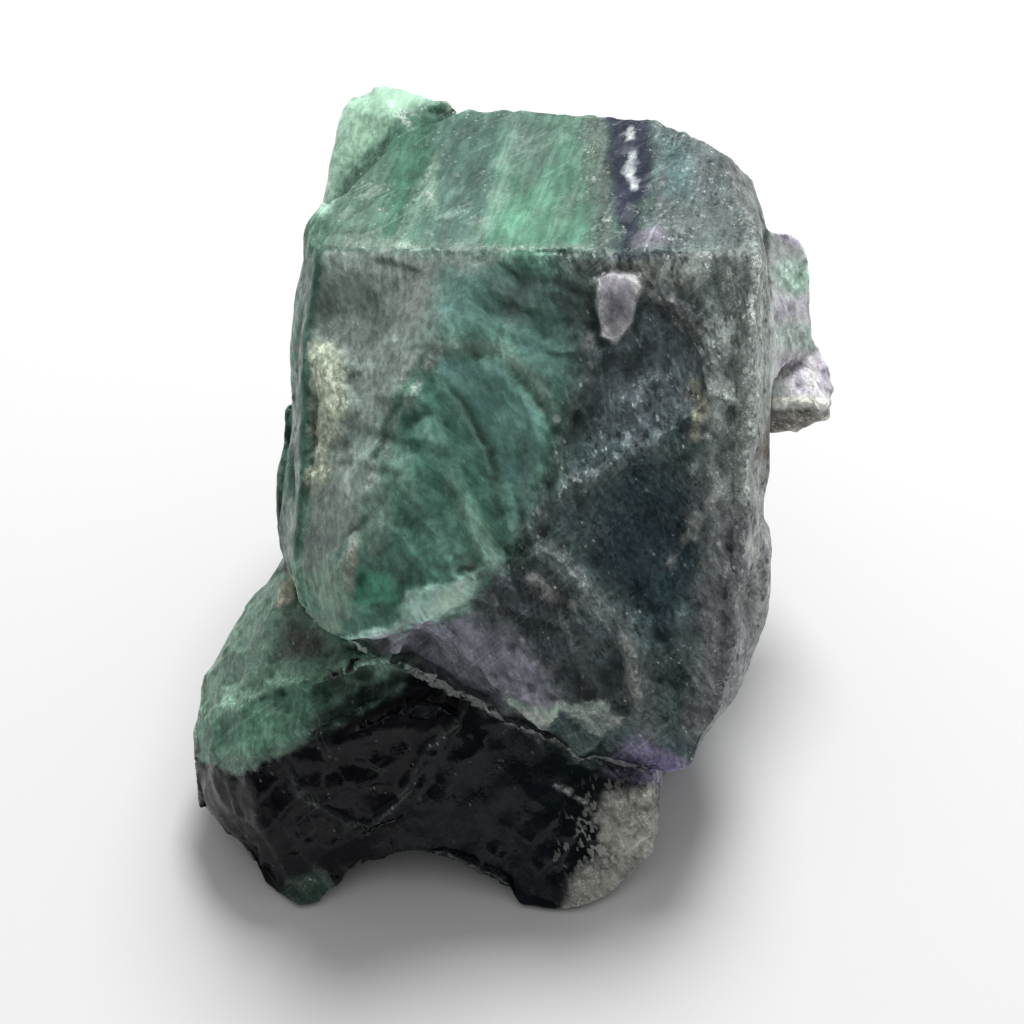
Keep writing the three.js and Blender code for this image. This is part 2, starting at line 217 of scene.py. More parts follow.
@dataclass(frozen=True)
class PictureCamera:
    """The camera, where the photographer stood."""

    target_mm: tuple[float, float, float] = (-0.4, -3.35, 30.0)
    distance_mm: float = 270.0
    elevation_deg: float = 50.0
    lens_mm: float = 85.0
    sensor_mm: float = 36.0
    picture_px: float = 1024.0

    def back(self) -> Array:
        """Return the direction from the stone to the camera."""
        lift = math.radians(self.elevation_deg)
        return np.array((0.0, -math.cos(lift), math.sin(lift)))

    def up(self) -> Array:
        """Return the direction that is up in the picture."""
        lift = math.radians(self.elevation_deg)
        return np.array((0.0, math.sin(lift), math.cos(lift)))

    def place_mm(self) -> Array:
        """Return where the camera stands."""
        return np.array(self.target_mm) + self.distance_mm * self.back()

    def picture_of(self, points_mm: Array) -> Array:
        """Find where places fall in the square picture.

        Args:
            points_mm: Places in millimetres, one a row.

        Returns:
            Pixels across and down, one row for each place.
        """
        offset = points_mm - self.place_mm()
        depth = -(offset @ self.back())
        focal_px = self.lens_mm / self.sensor_mm * self.picture_px
        half = self.picture_px / 2.0
        across = half + focal_px * offset[:, 0] / depth
        down = half - focal_px * (offset @ self.up()) / depth
        return np.stack([across, down], axis=1)

    def build(self) -> bpy.types.Object:
        """Make the camera and use it for the scene.

        Returns:
            The camera.
        """
        data = bpy.data.cameras.new("camera")
        data.lens = self.lens_mm
        data.sensor_width = self.sensor_mm
        camera = bpy.data.objects.new("camera", data)
        bpy.context.scene.collection.objects.link(camera)
        camera.location = Vector(self.place_mm() * MM)
        camera.rotation_euler = Vector(-self.back()).to_track_quat("-Z", "Y").to_euler()
        bpy.context.scene.camera = camera
        return camera


@dataclass(frozen=True)
class Skin:
    """The stone's fine surface: how closely it is meshed and how deep each kind of relief is."""

    camera: PictureCamera
    voxel_mm: float = 0.36
    most_triangles: int = 196000
    rounding_steps: int = 1
    bend_steps: int = 22
    soften_steps: int = 260
    floor_mm: float = 0.35
    settle_mm: float = 1.6
    swell_mm: float = 0.20
    right_mm: float = 1.3
    left_mm: float = 0.9
    broad_scar_mm: float = 1.5
    scar_mm: float = 1.25
    small_scar_mm: float = 0.45
    pit_mm: float = 0.16
    step_mm: float = 0.34
    wear_mm: float = 0.45
    crust_mm: float = 0.34
    deepest_mm: float = 1.7

    def build(self, solid: bpy.types.Object) -> bpy.types.Object:
        """Make the stone's skin from its solid.

        Args:
            solid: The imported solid, which stays as it is.

        Returns:
            The new object, with its relief and with the fields that the finish reads.
        """
        stone = self._remeshed(solid)
        mesh = stone.data
        points = self._points(mesh) / MM
        edges = self._edges(mesh)
        points = self._on_solid(solid, points)
        points = self._rounded(points, edges, self.rounding_steps, 0.5)
        points = self._softened(points, edges)
        normals = self._normals(mesh, points)
        bend = self._bend(points, normals, edges)
        relief = Relief(self, points, normals, bend)
        depth = np.clip(relief.total(), -self.deepest_mm, self.deepest_mm)
        grounded = smoothstep(self.floor_mm, self.settle_mm, points[:, 2])
        points = points + normals * (depth * grounded)[:, None]
        points = self._rounded(points, edges, 1, 0.35)
        points[:, 2] = np.maximum(points[:, 2], 0.0)
        normals = self._normals(mesh, points)
        bend = self._bend(points, normals, edges)
        Paint(self.camera, points, normals, bend, relief).store(mesh)
        self._thinned(stone)
        mesh = stone.data
        mesh.polygons.foreach_set("use_smooth", np.ones(len(mesh.polygons), dtype=bool))
        return stone

    def _thinned(self, stone: bpy.types.Object) -> None:
        """Take out faces where the surface is flat, until few enough are left.

        Args:
            stone: The stone, whose mesh is changed.
        """
        triangles = sum(len(polygon.vertices) - 2 for polygon in stone.data.polygons)
        if triangles <= self.most_triangles:
            return
        decimate = stone.modifiers.new("thin", "DECIMATE")
        decimate.ratio = self.most_triangles / triangles
        graph = bpy.context.evaluated_depsgraph_get()
        thin = bpy.data.meshes.new_from_object(stone.evaluated_get(graph))
        stone.modifiers.clear()
        stone.data = thin

    def _remeshed(self, solid: bpy.types.Object) -> bpy.types.Object:
        """Make an evenly meshed copy of the solid.

        Args:
            solid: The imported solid, which stays as it is.

        Returns:
            The copy, with no material.
        """
        rough = bpy.data.objects.new("rough_stone", solid.data.copy())
        bpy.context.scene.collection.objects.link(rough)
        remesh = rough.modifiers.new("even", "REMESH")
        remesh.mode = "VOXEL"
        remesh.voxel_size = self.voxel_mm * MM
        graph = bpy.context.evaluated_depsgraph_get()
        mesh = bpy.data.meshes.new_from_object(rough.evaluated_get(graph))
        bpy.data.objects.remove(rough)
        stone = bpy.data.objects.new("stone", mesh)
        bpy.context.scene.collection.objects.link(stone)
        mesh.materials.clear()
        return stone

    @staticmethod
    def _points(mesh: bpy.types.Mesh) -> Array:
        """Read where a mesh's vertices are.

        Args:
            mesh: The mesh to read.

        Returns:
            The places in metres, one a row.
        """
        flat = np.empty(len(mesh.vertices) * 3)
        mesh.vertices.foreach_get("co", flat)
        return flat.reshape(-1, 3)

    @staticmethod
    def _edges(mesh: bpy.types.Mesh) -> Array:
        """Read a mesh's edges.

        Args:
            mesh: The mesh to read.

        Returns:
            Pairs of vertex numbers.
        """
        flat = np.empty(len(mesh.edges) * 2, dtype=np.int64)
        mesh.edges.foreach_get("vertices", flat)
        return flat.reshape(-1, 2)

    @staticmethod
    def _normals(mesh: bpy.types.Mesh, points_mm: Array) -> Array:
        """Move a mesh's vertices and read its normals there.

        Args:
            mesh: The mesh to move.
            points_mm: Where its vertices go, in millimetres.

        Returns:
            The outward directions, one a row.
        """
        mesh.vertices.foreach_set("co", (points_mm * MM).ravel())
        mesh.update()
        flat = np.empty(len(mesh.vertices) * 3)
        mesh.vertex_normals.foreach_get("vector", flat)
        return flat.reshape(-1, 3)

    @staticmethod
    def _on_solid(solid: bpy.types.Object, points_mm: Array) -> Array:
        """Draw the even mesh back onto the solid's own faces, so that they stay flat.

        Args:
            solid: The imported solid.
            points_mm: The even mesh's vertices.

        Returns:
            The same vertices on the solid's surface.
        """
        tree = BVHTree.FromPolygons(
            [vertex.co for vertex in solid.data.vertices],
            [polygon.vertices for polygon in solid.data.polygons],
        )
        found = [tree.find_nearest(Vector(point * MM))[0] for point in points_mm]
        return np.array(found) / MM

    @staticmethod
    def _rounded(points: Array, edges: Array, steps: int, strength: float) -> Array:
        """Move each vertex towards the middle of its neighbours.

        Args:
            points: The vertices, one a row.
            edges: Pairs of vertex numbers.
            steps: How often all vertices are moved.
            strength: The share of the way that they move.

        Returns:
            The moved vertices.
        """
        count = len(points)
        first = np.concatenate([edges[:, 0], edges[:, 1]])
        second = np.concatenate([edges[:, 1], edges[:, 0]])
        neighbours = np.maximum(np.bincount(first, minlength=count), 1)
        moved = points.copy()
        for _ in range(steps):
            middle = np.stack(
                [np.bincount(first, moved[second, axis], count) / neighbours for axis in range(3)], axis=1
            )
            moved += strength * (middle - moved)
        return moved

    def _softened(self, points: Array, edges: Array) -> Array:
        """Smooth the places that are smoother than the rest of the break.

        The green hollow and the place of the lilac chip are filled. The pale lump and both sides of the
        tall body are only rounded a little.

        Args:
            points: The vertices, one a row.
            edges: Pairs of vertex numbers.

        Returns:
            The moved vertices.
        """
        soft = self._rounded(points, edges, self.soften_steps // 10, 0.6)
        beside = smoothstep(21.5, 24.0, np.abs(points[:, 0])) * smoothstep(12.0, 9.0, points[:, 1])
        beside = beside * smoothstep(14.0, 20.0, points[:, 2])
        share = np.maximum(near(points, LUMP_CENTRE, 15.0), beside)
        points = points + share[:, None] * (soft - points)
        smooth = self._rounded(soft, edges, self.soften_steps, 0.6)
        picture, still = self.camera.picture_of(points), np.zeros(len(points))
        front = smoothstep(9.0, 5.0, points[:, 1])
        share = np.maximum(HOLLOW_FILL.cover(picture, still), CHIP_FILL.cover(picture, still)) * front
        return points + share[:, None] * (smooth - points)

    def _bend(self, points: Array, normals: Array, edges: Array) -> Array:
        """Measure how far each vertex stands out of the smoothed stone, in millimetres."""
        smooth = self._rounded(points, edges, self.bend_steps, 0.6)
        return ((points - smooth) * normals).sum(axis=1)


class Relief:
    """The stone's steps, grooves, pits, crust and worn edges, as a height at every vertex."""

    CROWN_FACING = unit((0.05, 0.22, 0.97))
    CROWN_STEPS = unit((0.80, -0.58, 0.15))
    SPLITS = [unit(v) for v in ((1, 1, 1), (-1, 1, 1), (1, -1, 1), (-1, -1, 1))]
    SPLIT_TURN_DEG = 24.0
    CRUST_CORNER = (13.0, -29.0, 5.0)
    SHELF_CORNER = (35.5, 12.5, 31.0)

    def __init__(self, skin: Skin, points: Array, normals: Array, bend: Array) -> None:
        """Sample the noises that the relief shares.

        Args:
            skin: The depths of each kind of relief.
            points: The vertices in millimetres.
            normals: The outward directions there.
            bend: How far each vertex stands out.
        """
        self.skin = skin
        self.points = points
        self.normals = normals
        self.bend = bend
        self.noise = SpaceNoise(7)
        self.picture = skin.camera.picture_of(points)
        self.seen = smoothstep(0.02, 0.25, normals @ skin.camera.back())
        facing_up = smoothstep(0.93, 0.975, normals @ self.CROWN_FACING)
        self.crown = facing_up * smoothstep(54.0, 57.0, points[:, 2])
        self.lump = near(points, LUMP_CENTRE, 15.0)
        self.crust = self._near(self.CRUST_CORNER, 11.0) + 0.8 * self._near(self.SHELF_CORNER, 7.0)

    def _near(self, centre: Sequence[float], reach: float) -> Array:
        """Find what is near a place, with a ragged border.

        Args:
            centre: The place in millimetres.
            reach: The distance where nothing is left of it.

        Returns:
            1 near the place, falling to 0 at the reach.
        """
        away = np.linalg.norm(self.points - np.array(centre), axis=1)
        ragged = away + 2.5 * self.noise.layered(self.points, 4.0, 2)
        return 1.0 - smoothstep(reach * 0.6, reach, ragged)

    def total(self) -> Array:
        """Add up all the relief.

        Returns:
            The height at every vertex, in millimetres.
        """
        return (
            self._swells()
            + self._sides()
            + self._scars()
            + self._splits()
            + self._crown_steps()
            + self._pits()
            + self._crusts()
            + self._plates()
            - self._wear()
        )

    def _swells(self) -> Array:
        """Work out the broad unevenness of broken crystal, calmer on the crown.

        Returns:
            The height at every vertex, in millimetres.
        """
        calm = 1.0 - 0.75 * self.crown
        return self.skin.swell_mm * self.noise.layered(self.points, 9.0, 2) * calm

    def _sides(self) -> Array:
        """Work out how far both sides of the tall body stand out beyond the solid's.

        Returns:
            The height at every vertex, in millimetres.
        """
        body = smoothstep(14.0, 24.0, self.points[:, 2]) * smoothstep(13.0, 9.0, self.points[:, 1])
        across, facing = self.points[:, 0], self.normals[:, 0]
        right = self.skin.right_mm * smoothstep(19.0, 24.0, across) * smoothstep(0.2, 0.8, facing)
        left = self.skin.left_mm * smoothstep(-19.0, -23.0, across) * smoothstep(0.2, 0.8, -facing)
        return body * (right + left)

    def _scars(self) -> Array:
        """Work out the shell-shaped scars of the break, in three sizes, with none on the crown.

        Returns:
            The height at every vertex, in millimetres.
        """
        shifts = (5.0, 25.0, 45.0)
        warp = np.stack([self.noise.layered(self.points + shift, 6.0, 3) for shift in shifts], axis=1)
        bent = self.points + 1.5 * warp
        steep = bent * np.array((1.0, 1.0, 0.62))
        broad = self.noise.scars(steep, 10.5, 0.9, 0.3)
        middle = self.noise.scars(steep + 11.0, 4.6, 1.0, 0.85)
        small = self.noise.scars(bent * np.array((1.0, 0.8, 0.55)) + 23.0, 1.9, 1.0, 0.9)
        patchy = smoothstep(-0.35, 0.3, self.noise.smooth(self.points + 60.0, 11.0))
        total = (
            self.skin.broad_scar_mm * broad
            + self.skin.scar_mm * middle * (0.45 + 0.55 * patchy)
            + self.skin.small_scar_mm * small * (1.15 - 0.75 * patchy)
        )
        return total * (1.0 - 0.95 * np.maximum(self.crown, self.lump)) * (1.0 - self.crust) * self._broken()

    def _broken(self) -> Array:
        """Work out how rough the break is, calmer on both sides and just under the ridge.

        Returns:
            Shares from 0, where it is smooth as glass, to 1.
        """
        total = 1.0 - 0.6 * smoothstep(0.5, 0.8, np.abs(self.normals[:, 0]))
        ragged = np.zeros(len(self.points))
        for zone in ALL_ZONES:
            if zone.broken < 1.0:
                total += zone.cover(self.picture, ragged) * self.seen * (zone.broken - total)
        return total * (1.0 - 0.85 * smoothstep(59.5, 63.0, self.points[:, 2]))

    def _plates(self) -> Array:
        """Work out the flakes, chips and ridges that the picture shows.

        Returns:
            The height at every vertex, in millimetres.
        """
        ragged = self.noise.layered(self.points, 2.2, 2)
        total = np.zeros(len(self.points))
        for zone in ALL_ZONES:
            if zone.raised_mm:
                total += zone.raised_mm * zone.relief(self.picture, ragged) * self.seen
        return total

    def _stairs(self, along: Array, spacing: float, depth: float) -> Array:
        """Turn a height into a flight of ragged steps.

        Args:
            along: The height at every vertex, in millimetres.
            spacing: The width of one step.
            depth: How far one step drops.

        Returns:
            The height at every vertex, from minus one half to one half of a step.
        """
        ragged = along + 0.9 * self.noise.layered(self.points, 5.0, 3)
        share = ragged / spacing - np.floor(ragged / spacing)
        edge = smoothstep(0.0, 0.12, share)
        return depth * (edge * (1.0 - share) - 0.45)

    def _splits(self) -> Array:
        """Work out the flat steps that cleavage leaves, on every side but the crown.

        Returns:
            The height at every vertex, in millimetres.
        """
        turn = math.radians(self.SPLIT_TURN_DEG)
        cosine, sine = math.cos(turn), math.sin(turn)
        total = np.zeros(len(self.points))
        for number, split in enumerate(self.SPLITS):
            x, y, z = split
            facing = np.array((x * cosine - y * sine, x * sine + y * cosine, z))
            patch = smoothstep(0.05, 0.4, self.noise.smooth(self.points + 17.0 * (number + 1), 13.0))
            slant = 1.0 - np.abs(self.normals @ facing)
            steps = self._stairs(self.points @ facing, 3.4, self.skin.step_mm)
            total += steps * patch * smoothstep(0.1, 0.5, slant)
        beside = smoothstep(0.4, 0.8, np.abs(self.normals[:, 0]))
        return total * (1.0 - np.maximum(self.crown, self.lump)) * (1.0 - 0.7 * beside)

    def _crown_steps(self) -> Array:
        """Work out the low slanting steps across the crown.

        Returns:
            The height at every vertex, in millimetres.
        """
        along = self.points @ self.CROWN_STEPS
        fine = self._stairs(along, 2.3, 0.16)
        broad = self._stairs(along + 3.0, 6.5, 0.30)
        return (fine + broad) * self.crown

    def _pits(self) -> Array:
        """Work out small bruises, thickest on the grey and dark faces.

        Returns:
            The height at every vertex, in millimetres.
        """
        away, label = self.noise.grains(self.points, 1.7)
        deep = smoothstep(0.42, 0.05, away) * (label > 0.62)
        rough = smoothstep(-0.2, 0.4, self.noise.smooth(self.points, 10.0))
        return -self.skin.pit_mm * deep * rough * (1.0 - 0.6 * self.crown)

    def _crusts(self) -> Array:
        """Work out the knobbly crust on the right foot and on the shelf behind.

        Returns:
            The height at every vertex, in millimetres.
        """
        away, _ = self.noise.grains(self.points, 2.1)
        knobs = 1.0 - smoothstep(0.0, 0.85, away)
        return self.skin.crust_mm * self.crust * (1.6 * knobs - 0.35)

    def _wear(self) -> Array:
        """Work out how much is worn or chipped off the edges that stand out.

        Returns:
            The height at every vertex, in millimetres.
        """
        edge = smoothstep(0.06, 0.45, self.bend)
        chipped = 0.25 + 0.75 * smoothstep(-0.05, 0.4, self.noise.layered(self.points, 2.6, 2))
        return self.skin.wear_mm * edge * chipped


class Trace(Enum):
    """How a zone's corners are read."""

    PATCH = "the area inside them"
    LINE = "the line through them"


@dataclass(frozen=True)
class Zone:
    """A patch of colour on the side that the picture shows, with its corners in the picture's pixels."""

    name: str
    colour: Colour
    corners: tuple[Point, ...]
    soft_px: float = 10.0
    ragged_px: float = 8.0
    strength: float = 1.0
    rough: float = 0.35
    trace: Trace = Trace.PATCH
    half_width_px: float = 3.0
    raised_mm: float = 0.0
    rim_px: float = 5.0
    broken: float = 1.0
    grain: float = 1.0

    def cover(self, picture: Array, ragged: Array) -> Array:
        """Find how much of this zone's colour each place has.

        Args:
            picture: Where the places fall in the picture.
            ragged: Noise of about -1 to 1 that makes the outline ragged.

        Returns:
            Shares from 0 to the zone's strength.
        """
        outside = self._outside(picture) + self.ragged_px * ragged
        return self.strength * (1.0 - smoothstep(-self.soft_px / 2.0, self.soft_px / 2.0, outside))

    def relief(self, picture: Array, ragged: Array) -> Array:
        """Find how far up its plate or ridge each place is.

        Args:
            picture: Where the places fall in the picture.
            ragged: Noise of about -1 to 1 that makes the outline ragged.

        Returns:
            Shares from 0 to 1: a flat plate with a steep rim, or a sharp ridge along the line.
        """
        outside = self._outside(picture) + self.ragged_px * ragged
        if self.trace is Trace.LINE:
            return np.clip(-outside / self.half_width_px, 0.0, 1.0)
        return 1.0 - smoothstep(-self.rim_px / 2.0, self.rim_px / 2.0, outside)

    def _outside(self, picture: Array) -> Array:
        """Find the distance outside the zone, without working it out for places that are far off.

        Args:
            picture: Where the places fall in the picture.

        Returns:
            Pixels, below 0 inside the zone and a large number far off.
        """
        corners = np.array(self.corners, dtype=float)
        reach = self.soft_px + self.rim_px + 2.0 * self.ragged_px + self.half_width_px
        low, high = corners.min(axis=0) - reach, corners.max(axis=0) + reach
        close = np.all((picture > low) & (picture < high), axis=1)
        outside = np.full(len(picture), 1e3)
        outside[close] = self._distance(corners, picture[close])
        return outside

    def _distance(self, corners: Array, picture: Array) -> Array:
        """Return the distance outside the zone in pixels, for places near it.

        Args:
            corners: The zone's corners.
            picture: Where the places fall in the picture.

        Returns:
            The distances, below 0 inside the zone.
        """
        pairs = list(zip(corners[:-1], corners[1:]))
        if self.trace is Trace.PATCH:
            pairs.append((corners[-1], corners[0]))
        nearest = np.full(len(picture), np.inf)
        inside = np.zeros(len(picture), dtype=bool)
        for start, end in pairs:
            along = end - start
            offset = picture - start
            share = np.clip(offset @ along / (along @ along), 0.0, 1.0)
            nearest = np.minimum(nearest, np.linalg.norm(offset - share[:, None] * along, axis=1))
            spans = (start[1] > picture[:, 1]) != (end[1] > picture[:, 1])
            rise = along[1] if along[1] else 1e-9
            crossing = start[0] + along[0] * (picture[:, 1] - start[1]) / rise
            inside ^= spans & (picture[:, 0] < crossing)
        if self.trace is Trace.LINE:
            return nearest - self.half_width_px
        return np.where(inside, -nearest, nearest)


CROWN_ZONES = (
    Zone("crown", (0.104, 0.214, 0.157), (
        (316, 246), (314, 215), (326, 208), (324, 150), (343, 93), (370, 78), (400, 78), (445, 95),
        (545, 102), (655, 113), (726, 146), (762, 174), (778, 215), (755, 250), (560, 254), (372, 252)),
        5, 2, rough=0.3, grain=0.55),
    Zone("pale lump", (0.508, 0.812, 0.601), (
        (322, 215), (324, 150), (335, 103), (355, 80), (400, 78), (440, 95), (400, 112), (385, 135),
        (352, 165), (340, 200)), 10, 5, grain=0.15),
    Zone("pale rim of the lump", (0.539, 0.794, 0.646), (
        (326, 205), (327, 150), (340, 100), (366, 83), (400, 84), (430, 96)), 16, 5, 0.7,
        trace=Trace.LINE, half_width_px=7.0, grain=0.15),
    Zone("grey left of the crown", (0.105, 0.190, 0.145), (
        (340, 172), (392, 140), (398, 200), (380, 245), (320, 245), (330, 205)), 24, 14, grain=0.5),
    Zone("green left of the stripe", (0.077, 0.211, 0.140), (
        (392, 130), (418, 128), (404, 236), (384, 236)), 26, 16, grain=0.4),
    Zone("dark slanting stripe", (0.038, 0.128, 0.081), (
        (429, 128), (420, 165), (408, 205), (404, 240)), 12, 10, 0.85, trace=Trace.LINE,
        half_width_px=8.0, grain=0.4),
    Zone("teal middle of the crown", (0.085, 0.163, 0.137), (
        (440, 118), (506, 112), (500, 180), (488, 250), (424, 250), (440, 180)), 30, 20, grain=0.45),
    Zone("pale streaks left", (0.20, 0.31, 0.25), (
        (428, 182), (410, 215), (400, 245)), 12, 12, 0.8, trace=Trace.LINE, half_width_px=7.0),
    Zone("bright green", (0.098, 0.226, 0.160), (
        (508, 125), (560, 122), (588, 170), (600, 240), (560, 252), (486, 250), (498, 190)), 34, 20,
        grain=0.35),
    Zone("brightest green", (0.132, 0.318, 0.212), (
        (500, 205), (540, 190), (575, 228), (550, 250), (490, 248)), 34, 26, grain=0.3),
    Zone("grey cloud on the crown", (0.105, 0.165, 0.138), (
        (512, 112), (556, 116), (552, 160), (526, 186)), 26, 24, 0.8, grain=0.4),
    Zone("first feather on the crown", (0.26, 0.37, 0.31), (
        (470, 250), (490, 214), (508, 168), (514, 128)), 12, 22, 0.4, trace=Trace.LINE, half_width_px=5.0,
        grain=0.5),
    Zone("second feather on the crown", (0.25, 0.36, 0.30), (
        (548, 250), (560, 222), (584, 180)), 10, 22, 0.5, trace=Trace.LINE, half_width_px=4.0, grain=0.5),
    # Painted highlight: a pale line laid along the crest of the ridge.
    Zone("painted highlight along the ridge", (0.24, 0.33, 0.27), (
        (330, 242), (372, 247), (450, 250), (600, 251), (598, 246), (450, 245), (372, 242), (335, 236)),
        6, 8, 0.7, grain=0.8),
    Zone("scratches by the lump", (0.34, 0.44, 0.37), (
        (344, 212), (362, 196), (384, 186)), 3, 16, 0.7, trace=Trace.LINE, half_width_px=2.5, grain=0.5),
    Zone("scratches by the stripe", (0.30, 0.42, 0.34), (
        (436, 160), (428, 196), (446, 226)), 3, 16, 0.6, trace=Trace.LINE, half_width_px=2.5, grain=0.5),
    Zone("cream rim behind the crown", (0.60, 0.66, 0.56), (
        (440, 97), (470, 101), (500, 99), (524, 103)), 3, 8, 0.9, trace=Trace.LINE, half_width_px=3.5,
        grain=0.5),
    Zone("chips by the ridge", (0.27, 0.37, 0.30), (
        (350, 236), (400, 238), (425, 248), (345, 246)), 8, 12, 0.7),
    Zone("freckled brown edge", (0.106, 0.150, 0.125), (
        (584, 112), (608, 114), (616, 180), (620, 252), (596, 250), (586, 180)), 18, 14),
    Zone("purple band", (0.027, 0.033, 0.056), (
        (604, 112), (652, 116), (657, 180), (643, 206), (640, 254), (617, 254), (612, 190)), 11, 10,
        rough=0.2, broken=0.6, grain=0.4),
    Zone("right of the crown", (0.122, 0.152, 0.152), (
        (654, 114), (726, 146), (762, 174), (778, 215), (756, 250), (662, 252), (646, 215), (657, 170)),
        16, 10),
    Zone("teal right of the band", (0.09, 0.155, 0.155), (
        (660, 130), (690, 150), (690, 200), (664, 190)), 26, 12),
    Zone("lilac patch", (0.22, 0.21, 0.25), (
        (634, 234), (656, 224), (670, 236), (662, 250), (636, 250)), 12, 9),
    Zone("glint in the band", (0.62, 0.68, 0.70), (
        (630, 130), (633, 152), (630, 172), (634, 186)), 2, 1, trace=Trace.LINE, half_width_px=3.4,
        rough=0.1),
    Zone("chipped back edge", (0.42, 0.52, 0.44), (
        (452, 106), (476, 100), (500, 98), (520, 100)), 6, 8, trace=Trace.LINE, half_width_px=5.0,
        raised_mm=-0.3),
    Zone("right edge of the crown", (0.20, 0.215, 0.20), (
        (729, 150), (744, 190), (757, 248)), 8, 7, 0.6, trace=Trace.LINE, half_width_px=5.0),
)

LEFT_ZONES = (
    Zone("grey facet", (0.273, 0.339, 0.307), (
        (318, 250), (500, 256), (470, 300), (440, 340), (405, 385), (375, 450), (355, 560), (335, 620),
        (297, 565), (312, 480), (318, 400), (308, 330)), 14, 16, rough=0.5, broken=0.45, grain=0.4),
    Zone("dark green left side", (0.065, 0.150, 0.114), (
        (283, 560), (286, 480), (291, 400), (300, 290), (312, 250), (324, 250), (312, 330), (314, 400),
        (306, 480), (300, 560)), 7, 4, grain=0.3, broken=0.3),
    Zone("pale grey under the ridge", (0.217, 0.248, 0.222), (
        (405, 257), (500, 257), (478, 275), (440, 345), (412, 350), (400, 300)), 34, 20, rough=0.5,
        grain=0.3),
    Zone("cream patch", (0.513, 0.584, 0.452), (
        (311, 345), (345, 350), (347, 400), (335, 440), (322, 475), (311, 490), (314, 420)), 8, 24,
        rough=0.6, raised_mm=0.35, grain=0.9),
    Zone("upper hollow", (0.112, 0.226, 0.197), (
        (444, 270), (500, 262), (545, 262), (566, 285), (572, 345), (602, 400), (560, 412), (500, 345),
        (428, 338)), 46, 26, rough=0.2, broken=0.25, grain=0.12),
    Zone("haze in the hollow", (0.166, 0.235, 0.218), (
        (492, 278), (545, 276), (550, 315), (505, 325)), 30, 20, 0.7, rough=0.2, grain=0.12),
    Zone("hollow rim", (0.270, 0.370, 0.315), (
        (410, 343), (450, 346), (500, 350), (540, 385), (562, 425)), 16, 5, 0.6, trace=Trace.LINE,
        half_width_px=6.0, raised_mm=0.1, grain=0.2),
    Zone("green hollow", (0.211, 0.420, 0.373), (
        (430, 358), (500, 362), (538, 410), (547, 440), (532, 535), (508, 538), (495, 450), (450, 395)),
        20, 14, rough=0.2, broken=0.15, grain=0.12),
    Zone("knob", (0.112, 0.246, 0.194), (
        (420, 362), (470, 400), (500, 470), (514, 560), (480, 602), (430, 622), (340, 647), (300, 600),
        (345, 540), (380, 440)), 8, 12, rough=0.2, broken=0.55, grain=0.25),
    Zone("grey skin over the knob", (0.262, 0.374, 0.308), (
        (360, 430), (395, 410), (400, 480), (375, 560), (350, 545)), 26, 14, 0.7, rough=0.45, grain=0.3),
    Zone("deep green in the knob", (0.130, 0.418, 0.276), (
        (350, 565), (395, 578), (402, 602), (352, 604)), 8, 5, rough=0.2, raised_mm=-0.5, rim_px=14.0,
        broken=0.2, grain=0.15),
    Zone("pale left of the knob", (0.265, 0.406, 0.320), (
        (300, 575), (345, 558), (350, 615), (332, 642)), 8, 14, grain=0.3),
    # Painted glow: the knob's lower rim is laid pale mint, brighter than the knob, as light shining through
    # the crystal.
    Zone("painted glow on the lower rim", (0.530, 0.880, 0.715), (
        (405, 592), (455, 580), (490, 560), (472, 610), (430, 625), (350, 646), (332, 642), (400, 622)),
        6, 8, raised_mm=0.35, grain=0.3),
    Zone("painted mint glow on the rim", (0.582, 0.830, 0.670), (
        (438, 590), (468, 580), (462, 606), (432, 612)), 5, 8, grain=0.3),
    Zone("pale streak", (0.384, 0.432, 0.360), (
        (353, 545), (350, 588)), 5, 4, trace=Trace.LINE, half_width_px=4.5, raised_mm=0.25, grain=0.4),
    Zone("light right of the knob", (0.182, 0.312, 0.240), (
        (450, 480), (500, 540), (510, 572), (470, 575)), 20, grain=0.3),
    Zone("glow right of the hollow", (0.10, 0.24, 0.19), (
        (556, 420), (553, 470), (540, 520), (528, 545)), 16, 8, 0.8, trace=Trace.LINE, half_width_px=9.0,
        grain=0.2),
    Zone("white flecks on the facet's edge", (0.34, 0.36, 0.34), (
        (436, 352), (400, 415), (362, 500), (345, 560)), 5, 16, 0.6, trace=Trace.LINE, half_width_px=4.0,
        raised_mm=0.3),
    Zone("first dark streak", (0.055, 0.150, 0.112), (
        (424, 376), (448, 425), (478, 490), (500, 540)), 9, 7, 0.75, rough=0.2, trace=Trace.LINE,
        half_width_px=6.0, grain=0.2),
    Zone("second dark streak", (0.060, 0.165, 0.120), (
        (396, 400), (412, 440), (448, 500), (476, 560)), 8, 8, 0.7, rough=0.2, trace=Trace.LINE,
        half_width_px=5.0, grain=0.2),
    Zone("third dark streak", (0.065, 0.175, 0.130), (
        (378, 452), (398, 505), (430, 560)), 9, 8, 0.6, rough=0.2, trace=Trace.LINE, half_width_px=6.0,
        grain=0.2),
    Zone("first light streak", (0.21, 0.385, 0.300), (
        (410, 385), (432, 440), (462, 500), (492, 562)), 6, 7, 0.55, rough=0.2, trace=Trace.LINE,
        half_width_px=3.0, grain=0.2, raised_mm=0.15),
    Zone("second light streak", (0.20, 0.370, 0.290), (
        (386, 425), (400, 470), (436, 535), (458, 580)), 6, 8, 0.5, rough=0.2, trace=Trace.LINE,
        half_width_px=3.0, grain=0.2, raised_mm=0.15),
    Zone("third light streak", (0.23, 0.390, 0.310), (
        (458, 402), (486, 450), (506, 505), (516, 555)), 6, 7, 0.6, rough=0.2, trace=Trace.LINE,
        half_width_px=3.5, grain=0.2, raised_mm=0.2),
    Zone("upright streak", (0.13, 0.215, 0.175), (
        (524, 440), (522, 535)), 10, 5, 0.8, trace=Trace.LINE, half_width_px=6.0, grain=0.2),
)

